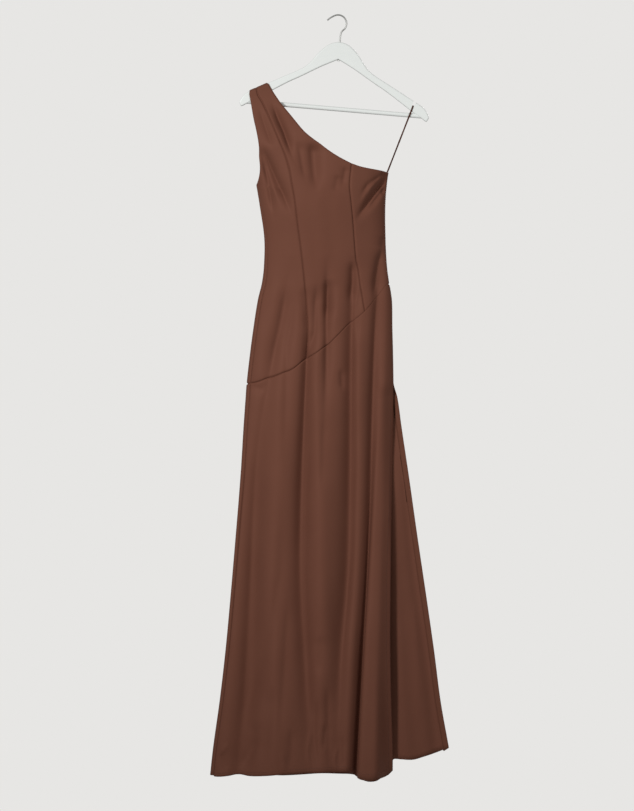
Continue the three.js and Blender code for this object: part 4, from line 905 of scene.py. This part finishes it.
    skirt_top = np.vstack([strap_hip, centre_hip[1:], open_hip[1:]])
    front_steps = np.concatenate([columns["strap"] * 10, 10 + columns["centre"][1:] * 11, 21 + columns["open"][1:] * 10])
    for side, top, hem, guides, steps, flat, area in (
        ("front", skirt_top, hem_front, FRONT_GUIDES, front_steps, (0.62, 1.12), 0.44),
        ("back", back_hip, hem_back, BACK_GUIDES, columns["back"] * 24, (0.66, 1.12), 0.465),
    ):
        sign = SIDES[side]["sign"]
        rows_side = spread(SIDE_ROWS, True, False)
        rows_slit = spread(SLIT_ROWS, False, False)[1:]
        hem_end = float(hem(SIDES[side]["right"](HEM_LEVEL)))
        rim = np.vstack([edge(sign, hip_right_z, SLIT_TOP, rows_side), edge(sign, SLIT_TOP, hem_end, rows_slit)])
        before = hem_turn(rim)
        before[0] = top[-1]
        before[-1, 1] = hem(ring(before[-1:])[0, 0]) - TURN_LOSS
        fall = np.concatenate([rows_side * SIDE_ROWS, SIDE_ROWS + rows_slit * SLIT_ROWS]) / (SIDE_ROWS + SLIT_ROWS)
        left = np.vstack([hip_left, left_seam(hip_left_z, HEM_FRONT[0][1], fall[1:])])
        grid = with_hem(skirt_grid(side, left, before, top, hem, guides, steps), rim, HEM_COLUMNS)
        cloth(f"skirt_{side}_panel", f"skirt_{side}", grid, "lt", flat, area, [f"bodice_{side}_panel" if side == "back" else "bodice_front_centre_panel"])
        raised = (HEM_STITCHES / (SLIT_TOP - HEM_LEVEL) * SLIT_ROWS) / 2
        sewn_row(f"hem_stitches_{side}", grid[-1, 1:-1] * (1 - raised) + grid[-3, 1:-1] * raised)
        sewn_row(f"slit_stitches_{side}", grid[len(rows_side) + 2 : -1, -1 - HEM_COLUMNS])
        strip = grid[len(rows_side) + 1 :, -1 - HEM_COLUMNS :]
        cloth(
            f"slit_turned_hem_{side}", f"slit_hem_{side}", strip, "", (0.013, 0.88), 0.0112, [f"skirt_{side}_panel"],
            material=turned_satin, start=CLOTH + 0.25, thickness=0.6,
        )


make_dress()


# The hanger
def painted_wood():
    """Beech under white satin enamel: a smooth, faintly green white with soft highlights."""
    material, tree, shader = new_material("white_enamel_on_beech")
    place_at = add(tree, "ShaderNodeTexCoord")
    # Grain is about 1 mm apart and runs along the arms; it only just shows through the paint.
    stretched = add(
        tree, "ShaderNodeMapping", {"Vector": place_at.outputs["Object"], "Scale": (60, 900, 900)}
    )
    grain = add(tree, "ShaderNodeTexNoise", {"Vector": stretched.outputs["Vector"], "Scale": 1.0, "Detail": 3.0})
    shade = add(
        tree, "ShaderNodeMix",
        {"Factor": grain.outputs["Fac"], "A": colour("#EAEEEB"), "B": colour("#F3F6F3")}, data_type="RGBA",
    )
    bump = add(tree, "ShaderNodeBump", {"Height": grain.outputs["Fac"], "Strength": 0.1, "Distance": 0.0003})
    tree.links.new(shade.outputs["Result"], shader.inputs["Base Color"])
    tree.links.new(bump.outputs["Normal"], shader.inputs["Normal"])
    shader.inputs["Roughness"].default_value = 0.38
    return material


def plated_wire():
    """Drawn steel wire with a nickel plating: mid grey with long bright streaks."""
    material, tree, shader = new_material("nickel_plated_drawn_wire")
    place_at = add(tree, "ShaderNodeTexCoord")
    # Fine scuffs from the rail, 0.5 mm apart
    scuffs = add(tree, "ShaderNodeTexNoise", {"Vector": place_at.outputs["Object"], "Scale": 2000.0, "Detail": 2.0})
    rough = add(
        tree, "ShaderNodeMapRange", {"Value": scuffs.outputs["Fac"], "To Min": 0.4, "To Max": 0.5}
    )
    tree.links.new(rough.outputs["Result"], shader.inputs["Roughness"])
    shader.inputs["Base Color"].default_value = colour("#B2B2AF")
    shader.inputs["Metallic"].default_value = 0.75
    return material


enamel, nickel = painted_wood(), plated_wire()
for node, finish in (("hanger_wood", enamel), ("hanger_bar", enamel), ("hanger_hook", nickel)):
    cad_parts[node].data.materials.clear()
    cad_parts[node].data.materials.append(finish)

# The hanging ribbon, along the CAD part's route: up from inside the open corner, over the
# arm and down behind it
LOOP_FOOT = (109.5, -356)
LOOP_TOP = (169.4, -202.3)
LOOP_INSIDE, LOOP_OVER_ARM, LOOP_BEND = 12, 24, 1.4
LOOP_BESIDE = 6.85  # from the arm's middle to the ribbon's
RIBBON_WIDTH, RIBBON_THICKNESS = 3.6, 0.9
RIBBON_TWIST = 0.5  # radians, in the free stretch
KEEPER_UNDER, KEEPER_HEIGHT, KEEPER_PROUD = 19, 3.4, 0.45


def make_ribbon():
    foot, top = np.array([LOOP_FOOT[0], 0, LOOP_FOOT[1]]), np.array([LOOP_TOP[0], 0, LOOP_TOP[1]])
    rise = np.linalg.norm(top - foot)
    up, deep = (top - foot) / rise, np.array([0, 1, 0])
    beside = np.cross(up, deep)
    high = rise - RIBBON_THICKNESS / 2
    bend = [math.radians(a) for a in range(0, 91, 10)]
    corner = [(high - LOOP_BEND * (1 - math.sin(a)), LOOP_BESIDE - LOOP_BEND * (1 - math.cos(a))) for a in bend]
    half = [(-LOOP_INSIDE, 0.8), (0, 0.9), (rise - LOOP_OVER_ARM, LOOP_BESIDE), *corner]
    stops = np.array([*half, *[(h, -y) for h, y in reversed(half)]])
    run = np.concatenate([[0], np.cumsum(np.linalg.norm(np.diff(stops, axis=0), axis=1))])
    at = np.unique(np.concatenate([np.arange(0, run[-1], 2.5), run]))
    height, y = np.interp(at, run, stops[:, 0]), np.interp(at, run, stops[:, 1])
    way = np.stack([np.gradient(height, at), np.gradient(y, at)], -1)
    way /= np.linalg.norm(way, axis=1, keepdims=True)
    centre = foot + height[:, None] * up + y[:, None] * deep
    out = way[:, :1] * deep - way[:, 1:] * up
    free = smooth(height / 30) * smooth((rise - LOOP_OVER_ARM - height) / 40)
    twist = (RIBBON_TWIST * free * np.sin(height / 26))[:, None, None]
    keeper = KEEPER_PROUD * (abs(height - (rise - KEEPER_UNDER)) < KEEPER_HEIGHT / 2)[:, None]
    round_it = np.linspace(0, 2 * math.pi, 12, endpoint=False)[None]
    wide = (RIBBON_WIDTH / 2 + keeper) * np.sign(np.cos(round_it)) * abs(np.cos(round_it)) ** 0.5
    thick = (RIBBON_THICKNESS / 2 + keeper) * np.sign(np.sin(round_it)) * abs(np.sin(round_it)) ** 0.7
    wide, thick = wide[..., None], thick[..., None]
    side_way, out_way = beside[None, None], out[:, None]
    rings = centre[:, None] + wide * (side_way * np.cos(twist) + out_way * np.sin(twist))
    rings = rings + thick * (out_way * np.cos(twist) - side_way * np.sin(twist))
    rows, sides = rings.shape[:2]
    faces = [
        (r * sides + k, (r + 1) * sides + k, (r + 1) * sides + (k + 1) % sides, r * sides + (k + 1) % sides)
        for r in range(rows - 1) for k in range(sides)
    ]
    faces += [tuple(range(sides)), tuple(reversed(range((rows - 1) * sides, rows * sides)))]
    uv = np.stack(np.broadcast_arrays(wide[..., 0] + np.zeros((rows, 1)), at[:, None]), -1).reshape(-1, 2)
    ribbon = mesh_object("hanging_ribbon", rings.reshape(-1, 3), faces, ribbon_satin, uv)
    finished(ribbon, "hanger_loop")


make_ribbon()


# The studio
# Share of the backdrop's brightness that falls on the dress from all round, and the
# softboxes: place and size in metres, and power in watts
ROOM_LIGHT = 0.27
SOFTBOXES = (
    ("key_softbox", (-2.4, -3.4, 0.6), 0.5, 480),
    ("fill_softbox", (2.4, -3.2, 0.3), 0.8, 155),
    ("back_softbox", (1.4, 3.8, 0.6), 0.8, 380),
)
LAMP_CONE = math.radians(41)  # each box has a grid, so its light fades towards the floor
LAMP_FADE = 0.9
LIT_POINT = (0.03, 0, -0.62)


def make_studio():
    world = bpy.data.worlds.new("pale_studio")
    bpy.context.scene.world = world
    world.use_nodes = True
    tree = world.node_tree
    backdrop = tree.nodes["Background"]
    backdrop.inputs["Color"].default_value = colour("#E7E6E4")
    # The wall behind is seen at full brightness, and the room gives a soft part of the light.
    room = add(tree, "ShaderNodeBackground", {"Color": colour("#E7E6E4"), "Strength": ROOM_LIGHT})
    seen = add(tree, "ShaderNodeLightPath")
    chosen = add(tree, "ShaderNodeMixShader", {"Fac": seen.outputs["Is Camera Ray"]})
    tree.links.new(room.outputs["Background"], chosen.inputs[1])
    tree.links.new(backdrop.outputs["Background"], chosen.inputs[2])
    tree.links.new(chosen.outputs["Shader"], tree.nodes["World Output"].inputs["Surface"])
    for name, at, size, power in SOFTBOXES:
        lamp = bpy.data.lights.new(name, "SPOT")
        lamp.shadow_soft_size = size
        lamp.energy = power
        lamp.spot_size = LAMP_CONE
        lamp.spot_blend = LAMP_FADE
        holder = bpy.data.objects.new(name, lamp)
        holder.location = at
        towards = np.array(LIT_POINT) - np.array(at)
        flat = math.hypot(towards[0], towards[1])
        holder.rotation_euler = (math.pi / 2 + math.atan2(towards[2], flat), 0, math.atan2(-towards[0], towards[1]))
        bpy.context.scene.collection.objects.link(holder)
    floor_material, tree, shader = new_material("pale_studio_floor")
    shader.inputs["Base Color"].default_value = colour("#E7E6E4")
    shader.inputs["Roughness"].default_value = 0.9
    corners = [(1200 * math.cos(a), 1200 * math.sin(a), -2000) for a in np.linspace(0, 2 * math.pi, 64, False)]
    floor = mesh_object("studio_floor", corners, [range(64)], floor_material)
    scene = bpy.context.scene
    scene.view_settings.view_transform = "Standard"
    scene.view_settings.look = "None"
    scene.view_settings.exposure = 0
    scene.view_settings.gamma = 1


make_studio()
